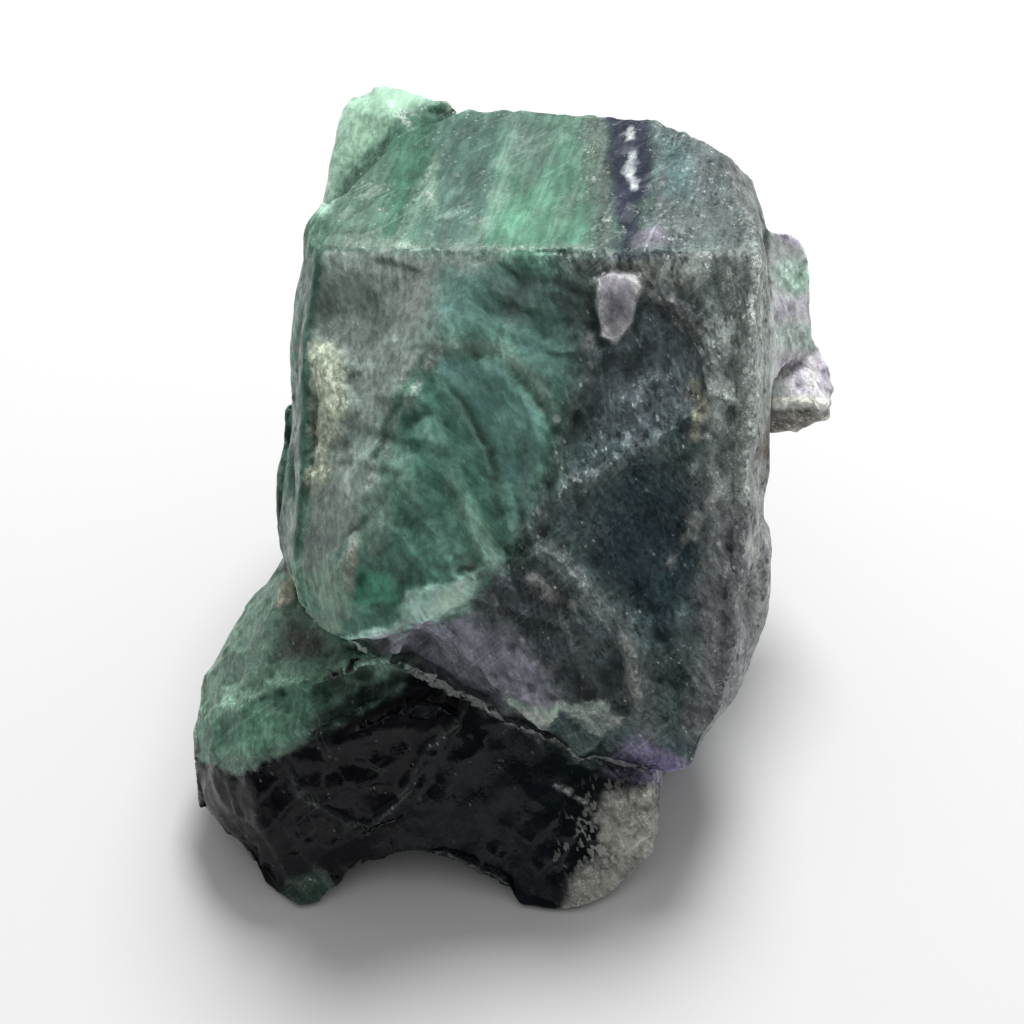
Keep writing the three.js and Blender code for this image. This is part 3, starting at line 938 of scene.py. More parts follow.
RIGHT_ZONES = (
    # Painted shadow: a near-black strip along the underside of the overhang. It is laid first, so the zones
    # after it leave it only in the gap beneath the overhang.
    Zone("painted shadow under the overhang", (0.016, 0.018, 0.024), (
        (345, 654), (400, 680), (470, 705), (540, 749), (600, 779), (655, 792)), 4, 2, trace=Trace.LINE,
        half_width_px=12.0, grain=0.2),
    Zone("dark right", (0.090, 0.133, 0.138), (
        (562, 257), (790, 240), (800, 300), (800, 450), (800, 600), (770, 700), (712, 790), (640, 785),
        (600, 774), (540, 742), (500, 700), (500, 610), (516, 560), (548, 490), (570, 430), (584, 350),
        (560, 290)), 34, rough=0.3, grain=1.15),
    Zone("brown grey under the ridge", (0.180, 0.198, 0.180), (
        (560, 258), (700, 256), (705, 300), (640, 282), (592, 270), (584, 330), (572, 330)), 20, 14,
        rough=0.5),
    Zone("right column", (0.321, 0.359, 0.338), (
        (692, 256), (790, 240), (800, 300), (800, 450), (800, 600), (770, 690), (702, 742), (700, 600),
        (718, 520), (702, 400), (708, 330)), 40, 30, rough=0.5, grain=1.3, broken=0.6),
    Zone("purple foot of the column", (0.215, 0.224, 0.235), (
        (716, 500), (800, 520), (800, 700), (712, 780), (690, 720), (704, 600)), 30, 20, 0.9, grain=1.2,
        broken=0.6),
    Zone("purple facet", (0.145, 0.184, 0.202), (
        (640, 300), (688, 318), (700, 400), (640, 450), (582, 440), (577, 352), (602, 345)), 14, 16,
        raised_mm=-0.3, rim_px=14.0),
    Zone("darkest dish", (0.051, 0.089, 0.107), (
        (640, 456), (688, 500), (700, 560), (662, 640), (602, 560), (602, 500)), 22, rough=0.2,
        raised_mm=-0.6, rim_px=40.0),
    Zone("lilac haze", (0.160, 0.160, 0.168), (
        (628, 280), (680, 290), (702, 332), (680, 332), (650, 302)), 24, 14),
    Zone("lilac chip", (0.50, 0.48, 0.53), (
        (594, 279), (612, 272), (634, 276), (640, 290), (634, 322), (618, 345), (600, 338), (597, 312)),
        5, 5, rough=0.2, raised_mm=0.7, broken=0.2, grain=0.25),
    Zone("grey middle of the chip", (0.20, 0.19, 0.23), (
        (606, 292), (628, 292), (624, 318), (608, 322)), 12, 6, 0.85, grain=0.25),
    Zone("lit foot of the chip", (0.62, 0.60, 0.62), (
        (600, 334), (614, 342), (628, 328)), 4, 4, 0.9, trace=Trace.LINE, half_width_px=3.5),
    Zone("lit side of the chip", (0.74, 0.74, 0.73), (
        (598, 282), (599, 310), (607, 334)), 4, 5, 0.8, trace=Trace.LINE, half_width_px=2.5),
    Zone("lit shoulder of the chip", (0.62, 0.62, 0.62), (
        (622, 275), (634, 279), (639, 290)), 4, 5, 0.8, trace=Trace.LINE, half_width_px=2.5),
    Zone("chip tail", (0.22, 0.22, 0.22), (
        (588, 326), (584, 352)), 5, 5, 0.8, trace=Trace.LINE, half_width_px=4.0),
    Zone("small lilac chip", (0.30, 0.30, 0.33), (
        (580, 336), (597, 331), (596, 350), (582, 352)), 4, 5, raised_mm=0.25),
    Zone("yellow dash", (0.360, 0.360, 0.270), (
        (697, 385), (701, 405), (694, 438)), 6, 12, trace=Trace.LINE, half_width_px=6.0, raised_mm=0.35),
    Zone("fork", (0.12, 0.122, 0.12), (
        (534, 528), (562, 492), (612, 468), (640, 450)), 10, 5, 0.3, trace=Trace.LINE, half_width_px=11.0,
        raised_mm=0.6),
    Zone("spine", (0.204, 0.210, 0.204), (
        (535, 545), (570, 575), (612, 618), (632, 660), (645, 735)), 12, 5, 0.4, trace=Trace.LINE,
        half_width_px=13.0, raised_mm=0.8),
    Zone("belly", (0.100, 0.125, 0.138), (
        (500, 560), (556, 590), (606, 640), (628, 720), (560, 700), (500, 645), (470, 610)), 26, 18),
    Zone("purple lower band", (0.345, 0.350, 0.425), (
        (350, 642), (400, 628), (462, 616), (520, 640), (562, 700), (540, 740), (470, 696), (400, 662)),
        18, 18, rough=0.45, grain=0.6),
    Zone("dark right of the hollow", (0.062, 0.100, 0.094), (
        (552, 262), (592, 262), (590, 330), (584, 440), (556, 500), (536, 540), (542, 480), (566, 420),
        (562, 340)), 34, 16, 0.85, grain=0.4),
    Zone("edge of the dark side", (0.12, 0.125, 0.12), (
        (640, 288), (688, 318), (706, 372), (700, 440), (690, 505), (702, 570)), 7, 14, 0.4,
        trace=Trace.LINE, half_width_px=10.0, raised_mm=0.6),
    Zone("rib under the chip", (0.09, 0.10, 0.10), (
        (606, 352), (576, 400), (560, 440), (528, 530)), 6, 12, 0.3, trace=Trace.LINE, half_width_px=9.0,
        raised_mm=0.5),
    Zone("first belly rib", (0.16, 0.16, 0.165), (
        (470, 575), (520, 640), (560, 690), (590, 712)), 6, 16, 0.35, trace=Trace.LINE, half_width_px=9.0,
        raised_mm=0.6),
    Zone("second belly rib", (0.15, 0.145, 0.16), (
        (420, 632), (470, 668), (520, 700)), 6, 14, 0.4, trace=Trace.LINE, half_width_px=8.0,
        raised_mm=0.5),
    Zone("third belly rib", (0.14, 0.145, 0.15), (
        (535, 580), (572, 640), (600, 700)), 6, 16, 0.35, trace=Trace.LINE, half_width_px=8.0,
        raised_mm=0.5),
    Zone("flake on the spine", (0.21, 0.22, 0.20), (
        (618, 640), (632, 636), (642, 700), (630, 704)), 5, 8, 0.8, raised_mm=0.4),
    Zone("white flecks", (0.45, 0.45, 0.44), (
        (534, 580), (552, 596), (572, 606)), 3, 16, 0.8, trace=Trace.LINE, half_width_px=4.0),
    Zone("white ring", (0.60, 0.62, 0.62), (
        (552, 418), (558, 416), (561, 421), (556, 425)), 3, 0, 0.9),
    Zone("glints on the dark side", (0.44, 0.46, 0.45), (
        (716, 470), (724, 486), (700, 520), (672, 560)), 3, 24, 0.7, trace=Trace.LINE, half_width_px=3.0),
    Zone("glints along the right edge", (0.42, 0.44, 0.42), (
        (757, 262), (762, 330), (757, 420), (757, 520), (754, 620)), 3, 16, 0.7, trace=Trace.LINE,
        half_width_px=2.5),
    Zone("white flake at the side", (0.50, 0.50, 0.47), (
        (750, 545), (757, 556)), 4, 6, 0.9, trace=Trace.LINE, half_width_px=4.0),
    Zone("pale flake", (0.468, 0.608, 0.515), (
        (503, 697), (535, 706), (560, 704), (558, 724), (540, 730), (515, 714)), 3, 12, raised_mm=0.55),
    Zone("second pale flake", (0.382, 0.471, 0.425), (
        (556, 702), (600, 704), (626, 720), (602, 736), (572, 722)), 3, 12, raised_mm=0.5),
    Zone("teal flake", (0.091, 0.140, 0.132), (
        (545, 730), (590, 736), (598, 760), (572, 766)), 3, 6, raised_mm=0.35),
    Zone("white tip of the first flake", (0.66, 0.68, 0.64), (
        (520, 712), (536, 716), (548, 724)), 3, 6, 0.9, trace=Trace.LINE, half_width_px=4.5,
        raised_mm=0.2),
    Zone("white tip of the second flake", (0.55, 0.60, 0.58), (
        (596, 716), (612, 722), (622, 720)), 3, 5, 0.8, trace=Trace.LINE, half_width_px=3.5,
        raised_mm=0.2),
    Zone("edge of the lower flakes", (0.30, 0.38, 0.35), (
        (503, 700), (530, 722), (560, 744), (592, 768)), 3, 6, 0.6, trace=Trace.LINE, half_width_px=2.5,
        raised_mm=0.2),
    Zone("lilac corner", (0.224, 0.194, 0.325), (
        (600, 768), (640, 736), (692, 762), (655, 788), (620, 784)), 12, 12),
)

FOOT_ZONES = (
    Zone("left lobe", (0.196, 0.313, 0.246), (
        (290, 568), (253, 588), (218, 643), (196, 668), (185, 700), (186, 755), (240, 777), (300, 747),
        (400, 692), (422, 666), (345, 647), (300, 602)), 6, 4, rough=0.4, broken=0.7, grain=0.55),
    Zone("green on the lobe", (0.138, 0.297, 0.211), (
        (205, 722), (260, 690), (330, 663), (398, 658), (340, 684), (302, 736), (240, 762), (205, 752)),
        16, 18, raised_mm=0.5, grain=0.5),
    Zone("brown of the lobe", (0.10, 0.105, 0.085), (
        (290, 615), (330, 640), (320, 662), (280, 656)), 22, 14),
    Zone("upper lobe plate", (0.136, 0.246, 0.185), (
        (200, 700), (250, 668), (330, 652), (398, 652), (330, 676), (262, 700), (212, 736)), 10, 14, 0.5,
        raised_mm=0.5, broken=0.8, grain=0.5),
    Zone("lit ledge", (0.254, 0.433, 0.328), (
        (224, 702), (262, 690), (300, 675), (350, 668), (395, 660)), 3, 8, 0.8, trace=Trace.LINE,
        half_width_px=5.0),
    Zone("purple lights", (0.050, 0.045, 0.070), (
        (255, 762), (300, 760), (318, 790), (268, 798)), 16, 16, 0.7, grain=0.2),
    Zone("green depth of the foot", (0.008, 0.024, 0.022), (
        (440, 720), (480, 712), (500, 780), (450, 840), (400, 840)), 30, 14, 0.8, grain=0.1),
    Zone("cream chip", (0.572, 0.572, 0.451), (
        (278, 588), (293, 575), (296, 600), (275, 608)), 3, 5, rough=0.5, raised_mm=0.35),
    Zone("dark left foot", (0.002, 0.002, 0.006), (
        (184, 757), (240, 778), (300, 749), (350, 719), (405, 690), (470, 700), (418, 765), (400, 866),
        (340, 895), (300, 918), (265, 900), (225, 860), (182, 805)), 4, 24, rough=0.22, broken=0.7,
        grain=0.24),
    Zone("ledge", (0.018, 0.040, 0.034), (
        (318, 716), (352, 694), (395, 672), (420, 676), (356, 716), (310, 742)), 14, 16, raised_mm=-0.5,
        grain=0.3),
    Zone("dark right foot", (0.002, 0.006, 0.010), (
        (470, 700), (540, 744), (600, 774), (655, 788), (660, 812), (645, 870), (560, 922), (510, 905),
        (440, 866), (400, 858), (412, 770)), 6, 4, rough=0.22, broken=0.6, grain=0.2),
    Zone("flake edge", (0.040, 0.054, 0.050), (
        (466, 702), (455, 726), (430, 746), (418, 768), (400, 803), (370, 828), (345, 822), (302, 797),
        (290, 768)), 6, 4, 0.5, trace=Trace.LINE, half_width_px=3.0, raised_mm=0.7),
    Zone("green on the foot", (0.055, 0.095, 0.075), (
        (290, 880), (320, 868), (338, 890), (305, 914), (278, 902)), 12),
    Zone("crust", (0.410, 0.410, 0.372), (
        (604, 792), (655, 788), (662, 830), (655, 868), (615, 902), (555, 916), (570, 884), (606, 850),
        (600, 820)), 12, 16, rough=0.65, grain=1.3),
    Zone("sparkles by the crust", (0.50, 0.52, 0.50), (
        (556, 786), (580, 800), (600, 822)), 2, 14, 0.9, trace=Trace.LINE, half_width_px=1.6),
    Zone("sparkles over the crust", (0.42, 0.42, 0.40), (
        (572, 838), (590, 826), (606, 808)), 2, 14, 0.8, trace=Trace.LINE, half_width_px=1.4),
    Zone("white rim of the left foot", (0.34, 0.36, 0.34), (
        (192, 690), (188, 740), (190, 790), (222, 856), (262, 898)), 3, 18, 0.7, trace=Trace.LINE,
        half_width_px=2.5),
    Zone("pale streak on the crust", (0.504, 0.504, 0.462), (
        (604, 836), (644, 815)), 5, 4, trace=Trace.LINE, half_width_px=5.0, raised_mm=0.3),
)

REAR_ZONES = (
    Zone("rear lobe", (0.630, 0.678, 0.662), (
        (770, 215), (800, 225), (818, 245), (818, 320), (840, 395), (832, 418), (775, 452), (771, 452),
        (771, 300)), 5, 2, rough=0.4, broken=0.35, grain=0.35),
    Zone("upper lilac band", (0.568, 0.515, 0.643), (
        (792, 232), (820, 240)), 10, 3, trace=Trace.LINE, half_width_px=14.0),
    Zone("upper green band", (0.508, 0.718, 0.598), (
        (792, 275), (830, 278)), 10, 4, trace=Trace.LINE, half_width_px=17.0),
    Zone("grey lilac band", (0.589, 0.575, 0.661), (
        (782, 308), (830, 310)), 8, 4, trace=Trace.LINE, half_width_px=9.0),
    Zone("lower green band", (0.538, 0.658, 0.598), (
        (786, 336), (830, 338)), 8, 4, trace=Trace.LINE, half_width_px=12.0),
    Zone("lower lilac band", (0.814, 0.744, 0.865), (
        (796, 374), (840, 378)), 10, 4, trace=Trace.LINE, half_width_px=20.0),
    Zone("crust line", (0.850, 0.827, 0.733), (
        (776, 400), (800, 402), (835, 402)), 5, 3, trace=Trace.LINE, half_width_px=5.0, rough=0.6,
        raised_mm=0.4),
    # Painted shade: the face under the rear lobe is laid a darker brown-grey.
    Zone("painted shade under the rear lobe", (0.210, 0.185, 0.165), (
        (771, 408), (835, 410), (800, 440), (770, 460), (755, 460)), 6, 4, rough=0.6),
)


ALL_ZONES = (*CROWN_ZONES, *LEFT_ZONES, *RIGHT_ZONES, *REAR_ZONES, *FOOT_ZONES)


CHIP_FILL = Zone("chip fill", (0.0, 0.0, 0.0), (
    (572, 266), (650, 268), (648, 358), (572, 358)), 12)
HOLLOW_FILL = Zone("hollow fill", (0.0, 0.0, 0.0), (
    (425, 350), (500, 335), (575, 370), (585, 450), (560, 545), (505, 560), (470, 480), (440, 400)), 50)


class Paint:
    """The colours of the stone at every vertex, with how rough it is, its edges for wear and painted
    highlight, and its hollows for painted shade.
    """

    LEFT_GREEN = (0.13, 0.27, 0.19)
    BAND_PURPLE = (0.05, 0.05, 0.085)
    RIGHT_TEAL = (0.13, 0.165, 0.16)
    # The near-black of the low faces, also laid under the overhang in front as painted shade.
    LOW_DARK = (0.014, 0.019, 0.023)
    LOW_GREEN = (0.05, 0.10, 0.08)
    REAR_PALE = (0.36, 0.40, 0.39)
    CROWN_GRAIN = (0.22, 0.97, -0.2)
    FRONT_GRAIN = (0.45, -0.45, -0.75)
    BAND_EDGES_MM = (8.0, 10.5, 15.0, 18.0)

    def __init__(
        self, camera: PictureCamera, points: Array, normals: Array, bend: Array, relief: Relief
    ) -> None:
        """Work out every field.

        Args:
            camera: The camera that the zones were drawn through.
            points: The finished vertices in millimetres.
            normals: The outward directions there.
            bend: How far each vertex stands out.
            relief: The relief, for its masks.
        """
        self.noise = SpaceNoise(23)
        self.points = points
        self.bend = bend
        self.relief = relief
        self.tint = self._inner_colour()
        self.rough = 0.42 + 0.12 * self.noise.layered(points, 9.0, 2)
        self.grain = np.full(len(points), 0.8)
        seen = smoothstep(-0.30, -0.05, normals @ camera.back())
        picture = camera.picture_of(points)
        ragged = self.noise.layered(points, 4.5, 4, 0.75)
        for zone in ALL_ZONES:
            cover = zone.cover(picture, ragged) * seen
            self._lay(zone.colour, cover)
            self.rough += cover * (zone.rough - self.rough)
            self.grain += cover * (zone.grain - self.grain)
        self._mottle()

    def _lay(self, colour: Colour, cover: Array) -> None:
        """Lay a colour over the tint, as much as the cover says."""
        self.tint += cover[:, None] * (np.array(colour) - self.tint)

    def _mottle(self) -> None:
        """Make every zone patchy, with clouds, streaks and paler veils inside it."""
        cloud = self.noise.layered(self.points, 3.4, 4, 0.6)
        facets = self.noise.scars(self.points * np.array((1.0, 1.0, 0.6)) + 50.0, 2.4, 1.4, 0.9)
        veil = smoothstep(0.10, 0.42, self.noise.layered(self.points + 70.0, 7.0, 5, 0.62))
        crown = self.relief.crown
        streaks = crown * self._streaks(self.CROWN_GRAIN, 1.3)
        streaks += (1.0 - crown) * self._streaks(self.FRONT_GRAIN, 1.6)
        change = 0.24 * cloud - 0.12 * facets + 0.50 * streaks + 0.34 * veil
        level = np.exp(change * (1.0 - 0.85 * self.relief.lump))
        self.tint *= level[:, None]

    def _streaks(self, grain: Sequence[float], wavelength: float) -> Array:
        """Return noise that is drawn out along one direction.

        Args:
            grain: The direction of the streaks.
            wavelength: The distance between two streaks, in millimetres.

        Returns:
            Values of about -1 to 1.
        """
        along = self.points @ unit(grain)
        across = self.points - 0.86 * along[:, None] * unit(grain)
        return self.noise.layered(across, wavelength * 2.0, 3, 0.7)

    def _inner_colour(self) -> Array:
        """Work out the colours of the sides that the picture hides.

        They are the growth zones that run through the whole stone. Low down they are nearly black, and in
        front under the overhang they are laid near black as painted shade. The lobe at the right behind is
        pale.

        Returns:
            The colours, one a row.
        """
        points = self.points
        swirl = self.noise.layered(points, 14.0, 3)
        across = points[:, 0] + 0.12 * points[:, 1] + 2.6 * swirl
        start, full, fall, end = self.BAND_EDGES_MM
        tint = np.tile(np.array(self.LEFT_GREEN), (len(points), 1))
        lighter = 0.75 + 0.5 * smoothstep(-0.5, 0.6, self.noise.layered(points + 9.0, 11.0, 3))
        tint *= lighter[:, None]

        def lay(colour: Colour, cover: Array) -> None:
            """Lay one zone's colour over the tint."""
            tint[:] += cover[:, None] * (np.array(colour) - tint)

        lay(self.RIGHT_TEAL, smoothstep(fall, end, across))
        lay(self.BAND_PURPLE, smoothstep(start, full, across) * (1.0 - smoothstep(fall, end, across)))
        low = 1.0 - smoothstep(17.0, 30.0, points[:, 2] + 5.0 * swirl)
        lay(self.LOW_DARK, 0.92 * low)
        patches = smoothstep(0.1, 0.45, self.noise.layered(points + 30.0, 12.0, 3))
        lay(self.LOW_GREEN, patches * low)
        # Painted shade: the faces in front, low under the overhang, are laid near black.
        lay(self.LOW_DARK, smoothstep(37.0, 31.0, points[:, 2]) * smoothstep(-6.0, -11.0, points[:, 1]))
        rear = smoothstep(27.5, 30.0, points[:, 0]) * smoothstep(5.0, 8.0, points[:, 1]) * (1.0 - low)
        lay(self.REAR_PALE, rear)
        return tint

    def store(self, mesh: bpy.types.Mesh) -> None:
        """Store the fields where the finish reads them.

        Args:
            mesh: The stone's mesh.
        """
        red, green, blue = np.clip(self.tint, 0.0, 1.0).T
        fields = {
            "tint_red": red,
            "tint_green": green,
            "tint_blue": blue,
            "rough": np.clip(self.rough, 0.05, 1.0),
            "grain": self.grain,
            # How far a vertex stands out; the finish makes it paler there, partly as wear and partly as
            # painted highlight.
            "edge": smoothstep(0.12, 0.50, self.bend),
            # How far a vertex lies in a hollow; the finish darkens it there as painted shade.
            "hollow_shade": smoothstep(0.03, 0.30, -self.bend),
            "crown": self.relief.crown,
            "crust": np.clip(self.relief.crust, 0.0, 1.0),
        }
        for name, values in fields.items():
            layer = mesh.attributes.new(name, "FLOAT", "POINT")
            layer.data.foreach_set("value", np.ascontiguousarray(values, dtype=np.float32))


class Wire:
    """A value on its way between shader nodes, which is used like a number."""

    def __init__(self, board: "Board", socket: bpy.types.NodeSocket) -> None:
        """Keep the board and the socket that the value comes from."""
        self.board = board
        self.socket = socket

    def __add__(self, other: "Value") -> "Wire":
        """Add."""
        return self.board.maths("ADD", self, other)

    def __radd__(self, other: "Value") -> "Wire":
        """Add to a number."""
        return self.board.maths("ADD", other, self)

    def __sub__(self, other: "Value") -> "Wire":
        """Subtract."""
        return self.board.maths("SUBTRACT", self, other)

    def __rsub__(self, other: "Value") -> "Wire":
        """Subtract from a number."""
        return self.board.maths("SUBTRACT", other, self)

    def __mul__(self, other: "Value") -> "Wire":
        """Multiply."""
        return self.board.maths("MULTIPLY", self, other)

    def __rmul__(self, other: "Value") -> "Wire":
        """Multiply a number."""
        return self.board.maths("MULTIPLY", other, self)


Value = Union[Wire, float]
Shade = Union[Wire, Colour]


class Board:
    """The node tree of one material or of the sky."""

    def __init__(self, owner: Union[bpy.types.Material, bpy.types.World]) -> None:
        """Start with an empty tree.

        Args:
            owner: The material or the sky.
        """
        owner.use_nodes = True
        self.tree = owner.node_tree
        self.tree.nodes.clear()

    def node(
        self, kind: str, settings: Optional[dict[str, object]] = None, sockets: Optional[dict] = None
    ) -> bpy.types.Node:
        """Make a node.

        Args:
            kind: The node's type.
            settings: What is set on the node itself, before its sockets.
            sockets: A value or a wire for each of its sockets, by name or by number.

        Returns:
            The new node.
        """
        node = self.tree.nodes.new(kind)
        for name, setting in (settings or {}).items():
            setattr(node, name, setting)
        for key, value in (sockets or {}).items():
            socket = node.inputs[key]
            if isinstance(value, Wire):
                self.tree.links.new(value.socket, socket)
            elif socket.type == "RGBA":
                socket.default_value = (*value, 1.0)
            else:
                socket.default_value = value
        return node

    def wire(self, node: bpy.types.Node, output: Union[str, int] = 0) -> Wire:
        """Return the wire from one of a node's outputs."""
        return Wire(self, node.outputs[output])

    def maths(self, operation: str, *values: Value) -> Wire:
        """Work out a number with a Math node."""
        return self.wire(self.node("ShaderNodeMath", {"operation": operation}, dict(enumerate(values))))

    def blend(self, share: Value, first: Shade, second: Shade, how: str = "MIX") -> Wire:
        """Mix two colours.

        Args:
            share: How much of the second colour there is, from 0 to 1.
            first: The colour below.
            second: The colour laid over it.
            how: The way of mixing.

        Returns:
            The mixed colour.
        """
        settings = {"data_type": "RGBA", "blend_type": how}
        return self.wire(self.node("ShaderNodeMix", settings, {0: share, 6: first, 7: second}), 2)

    def along(self, operation: str, first: Shade, second: Union[Value, Colour, None] = None) -> Wire:
        """Work out a vector with a Vector Math node.

        Args:
            operation: What is done.
            first: The vector that it is done to.
            second: The other vector, or the number to scale with.

        Returns:
            The resulting vector.
        """
        sockets: dict = {0: first}
        if second is not None:
            sockets["Scale" if operation == "SCALE" else 1] = second
        return self.wire(self.node("ShaderNodeVectorMath", {"operation": operation}, sockets))

    def grey(self, value: Value) -> Wire:
        """Make a grey of a number, to multiply a colour with."""
        return self.wire(self.node("ShaderNodeCombineColor", None, {0: value, 1: value, 2: value}))

    def rise(self, value: Value, low: float, high: float, start: float = 0.0, end: float = 1.0) -> Wire:
        """Rise softly from one number to another.

        Args:
            value: The number to look up.
            low: Where the rise starts.
            high: Where it ends.
            start: The result below the rise.
            end: The result above it.

        Returns:
            The result.
        """
        sockets = {"Value": value, "From Min": low, "From Max": high, "To Min": start, "To Max": end}
        return self.wire(self.node("ShaderNodeMapRange", {"interpolation_type": "SMOOTHSTEP"}, sockets))

    def field(self, name: str) -> Wire:
        """Read one of the fields that the mesh holds."""
        settings = {"attribute_type": "GEOMETRY", "attribute_name": name}
        return self.wire(self.node("ShaderNodeAttribute", settings), "Fac")

    def tint(self) -> Wire:
        """Read the mesh's own colour, which is kept as three fields.

        Returns:
            The colour.
        """
        names = ("tint_red", "tint_green", "tint_blue")
        parts = {number: self.field(name) for number, name in enumerate(names)}
        return self.wire(self.node("ShaderNodeCombineColor", None, parts))

    def place(
        self, turn_deg: tuple[float, float, float] = (0.0, 0.0, 0.0), stretch: Sequence[float] = (1, 1, 1)
    ) -> Wire:
        """Return the place on the stone in millimetres, turned and stretched.

        Args:
            turn_deg: The turns about X, Y and Z.
            stretch: What each direction is multiplied with after the turn.

        Returns:
            The place, as a vector.
        """
        spot = self.wire(self.node("ShaderNodeTexCoord"), "Object")
        turned = self.node("ShaderNodeVectorRotate", {"rotation_type": "EULER_XYZ"}, {
            "Vector": spot, "Rotation": tuple(math.radians(turn) for turn in turn_deg)})
        scale = tuple(share / MM for share in stretch)
        return self.along("MULTIPLY", self.wire(turned), scale)

    def noise(self, place: Wire, size_mm: float, detail: float, rough: float) -> Wire:
        """Return noise from 0 to 1.

        Args:
            place: The place in millimetres.
            size_mm: The width of its largest patches.
            detail: How many finer layers it has.
            rough: How strong the finer layers are.

        Returns:
            The noise.
        """
        return self.wire(self.node("ShaderNodeTexNoise", None, {
            "Vector": place, "Scale": 1.0 / size_mm, "Detail": detail, "Roughness": rough}))

    def cells(self, place: Wire, size_mm: float) -> "Cells":
        """Return small cells that fill space.

        Args:
            place: The place in millimetres.
            size_mm: How wide the cells are.

        Returns:
            The cells.
        """
        cells = self.node("ShaderNodeTexVoronoi", None, {"Vector": place, "Scale": 1.0 / size_mm})
        colour = self.wire(cells, "Color")
        label = self.wire(self.node("ShaderNodeSeparateColor", None, {0: colour}))
        return Cells(self.wire(cells, "Distance"), colour, label)


@dataclass(frozen=True)
class Cells:
    """What is known of the cell round a place."""

    away: Wire
    colour: Wire
    label: Wire


@dataclass(frozen=True)
class FluoriteFinish:
    """Fluorite: a clear, cloudy crystal with zones of colour, veils, growth lines, flecks and worn edges,
    with painted shade in its hollows and painted highlights on its edges and sparkles.
    """

    ior: float = 1.434
    clear_share: float = 0.25
    gloss: float = 0.17
    absorbing: Colour = (0.35, 0.75, 0.6)
    absorbing_per_m: float = 60.0
    pale: Colour = (0.55, 0.62, 0.56)
    spark: Colour = (0.78, 0.82, 0.80)
    bump_mm: float = 0.10
    facet_sizes_mm: tuple[float, float] = (0.34, 1.2)
    split_turns_deg: tuple[tuple[float, float, float], ...] = ((0.0, 28.0, 14.0), (0.0, -38.0, 40.0))
    facet_tilts: tuple[tuple[float, float], ...] = ((0.06, 0.70), (0.06, 0.40))

    def build(self) -> bpy.types.Material:
        """Make the material.

        Returns:
            The material.
        """
        material = bpy.data.materials.new("fluorite")
        board = Board(material)
        place = board.place()
        turned = board.place((20.0, 30.0, 12.0), (1.0, 0.7, 0.5))
        cells = [board.cells(turned, size_mm) for size_mm in self.facet_sizes_mm]
        shader = board.node("ShaderNodeBsdfPrincipled", None, {
            "Base Color": self._colour(board, place, cells),
            "Roughness": self._roughness(board, place),
            "Normal": self._bump(board, place, cells),
            "IOR": self.ior,
            "Transmission Weight": self.clear_share,
            "Specular IOR Level": self.gloss,
        })
        inside = board.node("ShaderNodeVolumeAbsorption", None, {
            "Color": self.absorbing, "Density": self.absorbing_per_m})
        board.node("ShaderNodeOutputMaterial", None, {
            "Surface": board.wire(shader), "Volume": board.wire(inside)})
        return material

    def _colour(self, board: Board, place: Wire, cells: list[Cells]) -> Wire:
        """Return the colour: the zones, with everything that is finer than they are.

        Args:
            board: The material's node tree.
            place: The place in millimetres.
            cells: The tiny and the small facets.

        Returns:
            The colour.
        """
        edge, hollow_shade, crown = board.field("edge"), board.field("hollow_shade"), board.field("crown")
        crust, grain = board.field("crust"), board.field("grain")
        tiny, small = cells
        fine = board.noise(place, 0.42, 3.0, 0.7)
        drawn = board.noise(board.place((0.0, 0.0, 12.0), (1.0, 0.12, 0.3)), 0.55, 3.0, 0.65)
        slanted = board.noise(board.place((0.0, 34.0, 30.0), (1.0, 0.6, 0.16)), 0.55, 3.0, 0.65)
        lines = board.rise(drawn, 0.38, 0.62, -0.20, 0.20) * crown * board.rise(grain, 0.10, 0.40, 0.3, 1.0)
        slants = board.rise(slanted, 0.38, 0.62, -0.22, 0.22) * (1.0 - crown)
        speckle = 1.0 + grain * (board.rise(fine, 0.28, 0.72, -0.18, 0.18) + 0.26 * tiny.label - 0.13)
        # Painted shade: the colour is darkened by up to 0.55 in hollows.
        level = speckle * (1.0 + lines + slants) * (1.0 - 0.55 * hollow_shade) * (0.92 + 0.16 * small.label)
        colour = board.blend(1.0, board.tint(), board.grey(level), "MULTIPLY")
        patch = board.noise(place, 3.0, 2.0, 0.7)
        dust = board.rise(board.noise(place, 0.20, 1.0, 0.8), 0.60, 0.68) * board.rise(patch, 0.38, 0.62)
        lighter = board.blend(0.10, board.blend(1.0, colour, (2.6, 2.6, 2.6), "MULTIPLY"), self.pale)
        colour = board.blend(dust * grain * 0.75, colour, lighter)
        fleck = board.rise(small.label * 0.26 - small.away, 0.02, 0.06) * board.rise(patch, 0.46, 0.56)
        colour = board.blend(fleck * grain * 0.50, colour, self.pale)
        # Edges that stand out are made paler in patches: partly wear, partly a painted highlight along the
        # rims.
        worn = edge * board.rise(fine, 0.42, 0.56)
        worn_colour = board.blend(0.16, board.blend(1.0, colour, (2.4, 2.4, 2.4), "MULTIPLY"), self.pale)
        colour = board.blend(worn * board.rise(grain, 0.10, 0.50, 0.12, 0.60), colour, worn_colour)
        sugar = board.rise(tiny.label, 0.72, 0.80)
        colour = board.blend(sugar * crust * 0.65, colour, (0.62, 0.62, 0.57))
        # Painted sparkles: a few tiny cells are laid near white, as glints of light on small facets.
        spark = board.rise(tiny.label, 0.945, 0.96) * board.rise(tiny.away, 0.42, 0.26)
        spark = spark * board.rise(patch, 0.44, 0.54)
        colour = board.blend(spark * grain * 0.8, colour, self.spark)
        lit = board.blend(0.30, board.blend(1.0, colour, (2.2, 2.2, 2.2), "MULTIPLY"), self.pale)
        return board.blend(self._cleavage(board) * board.rise(grain, 0.10, 0.45) * 0.34, colour, lit)

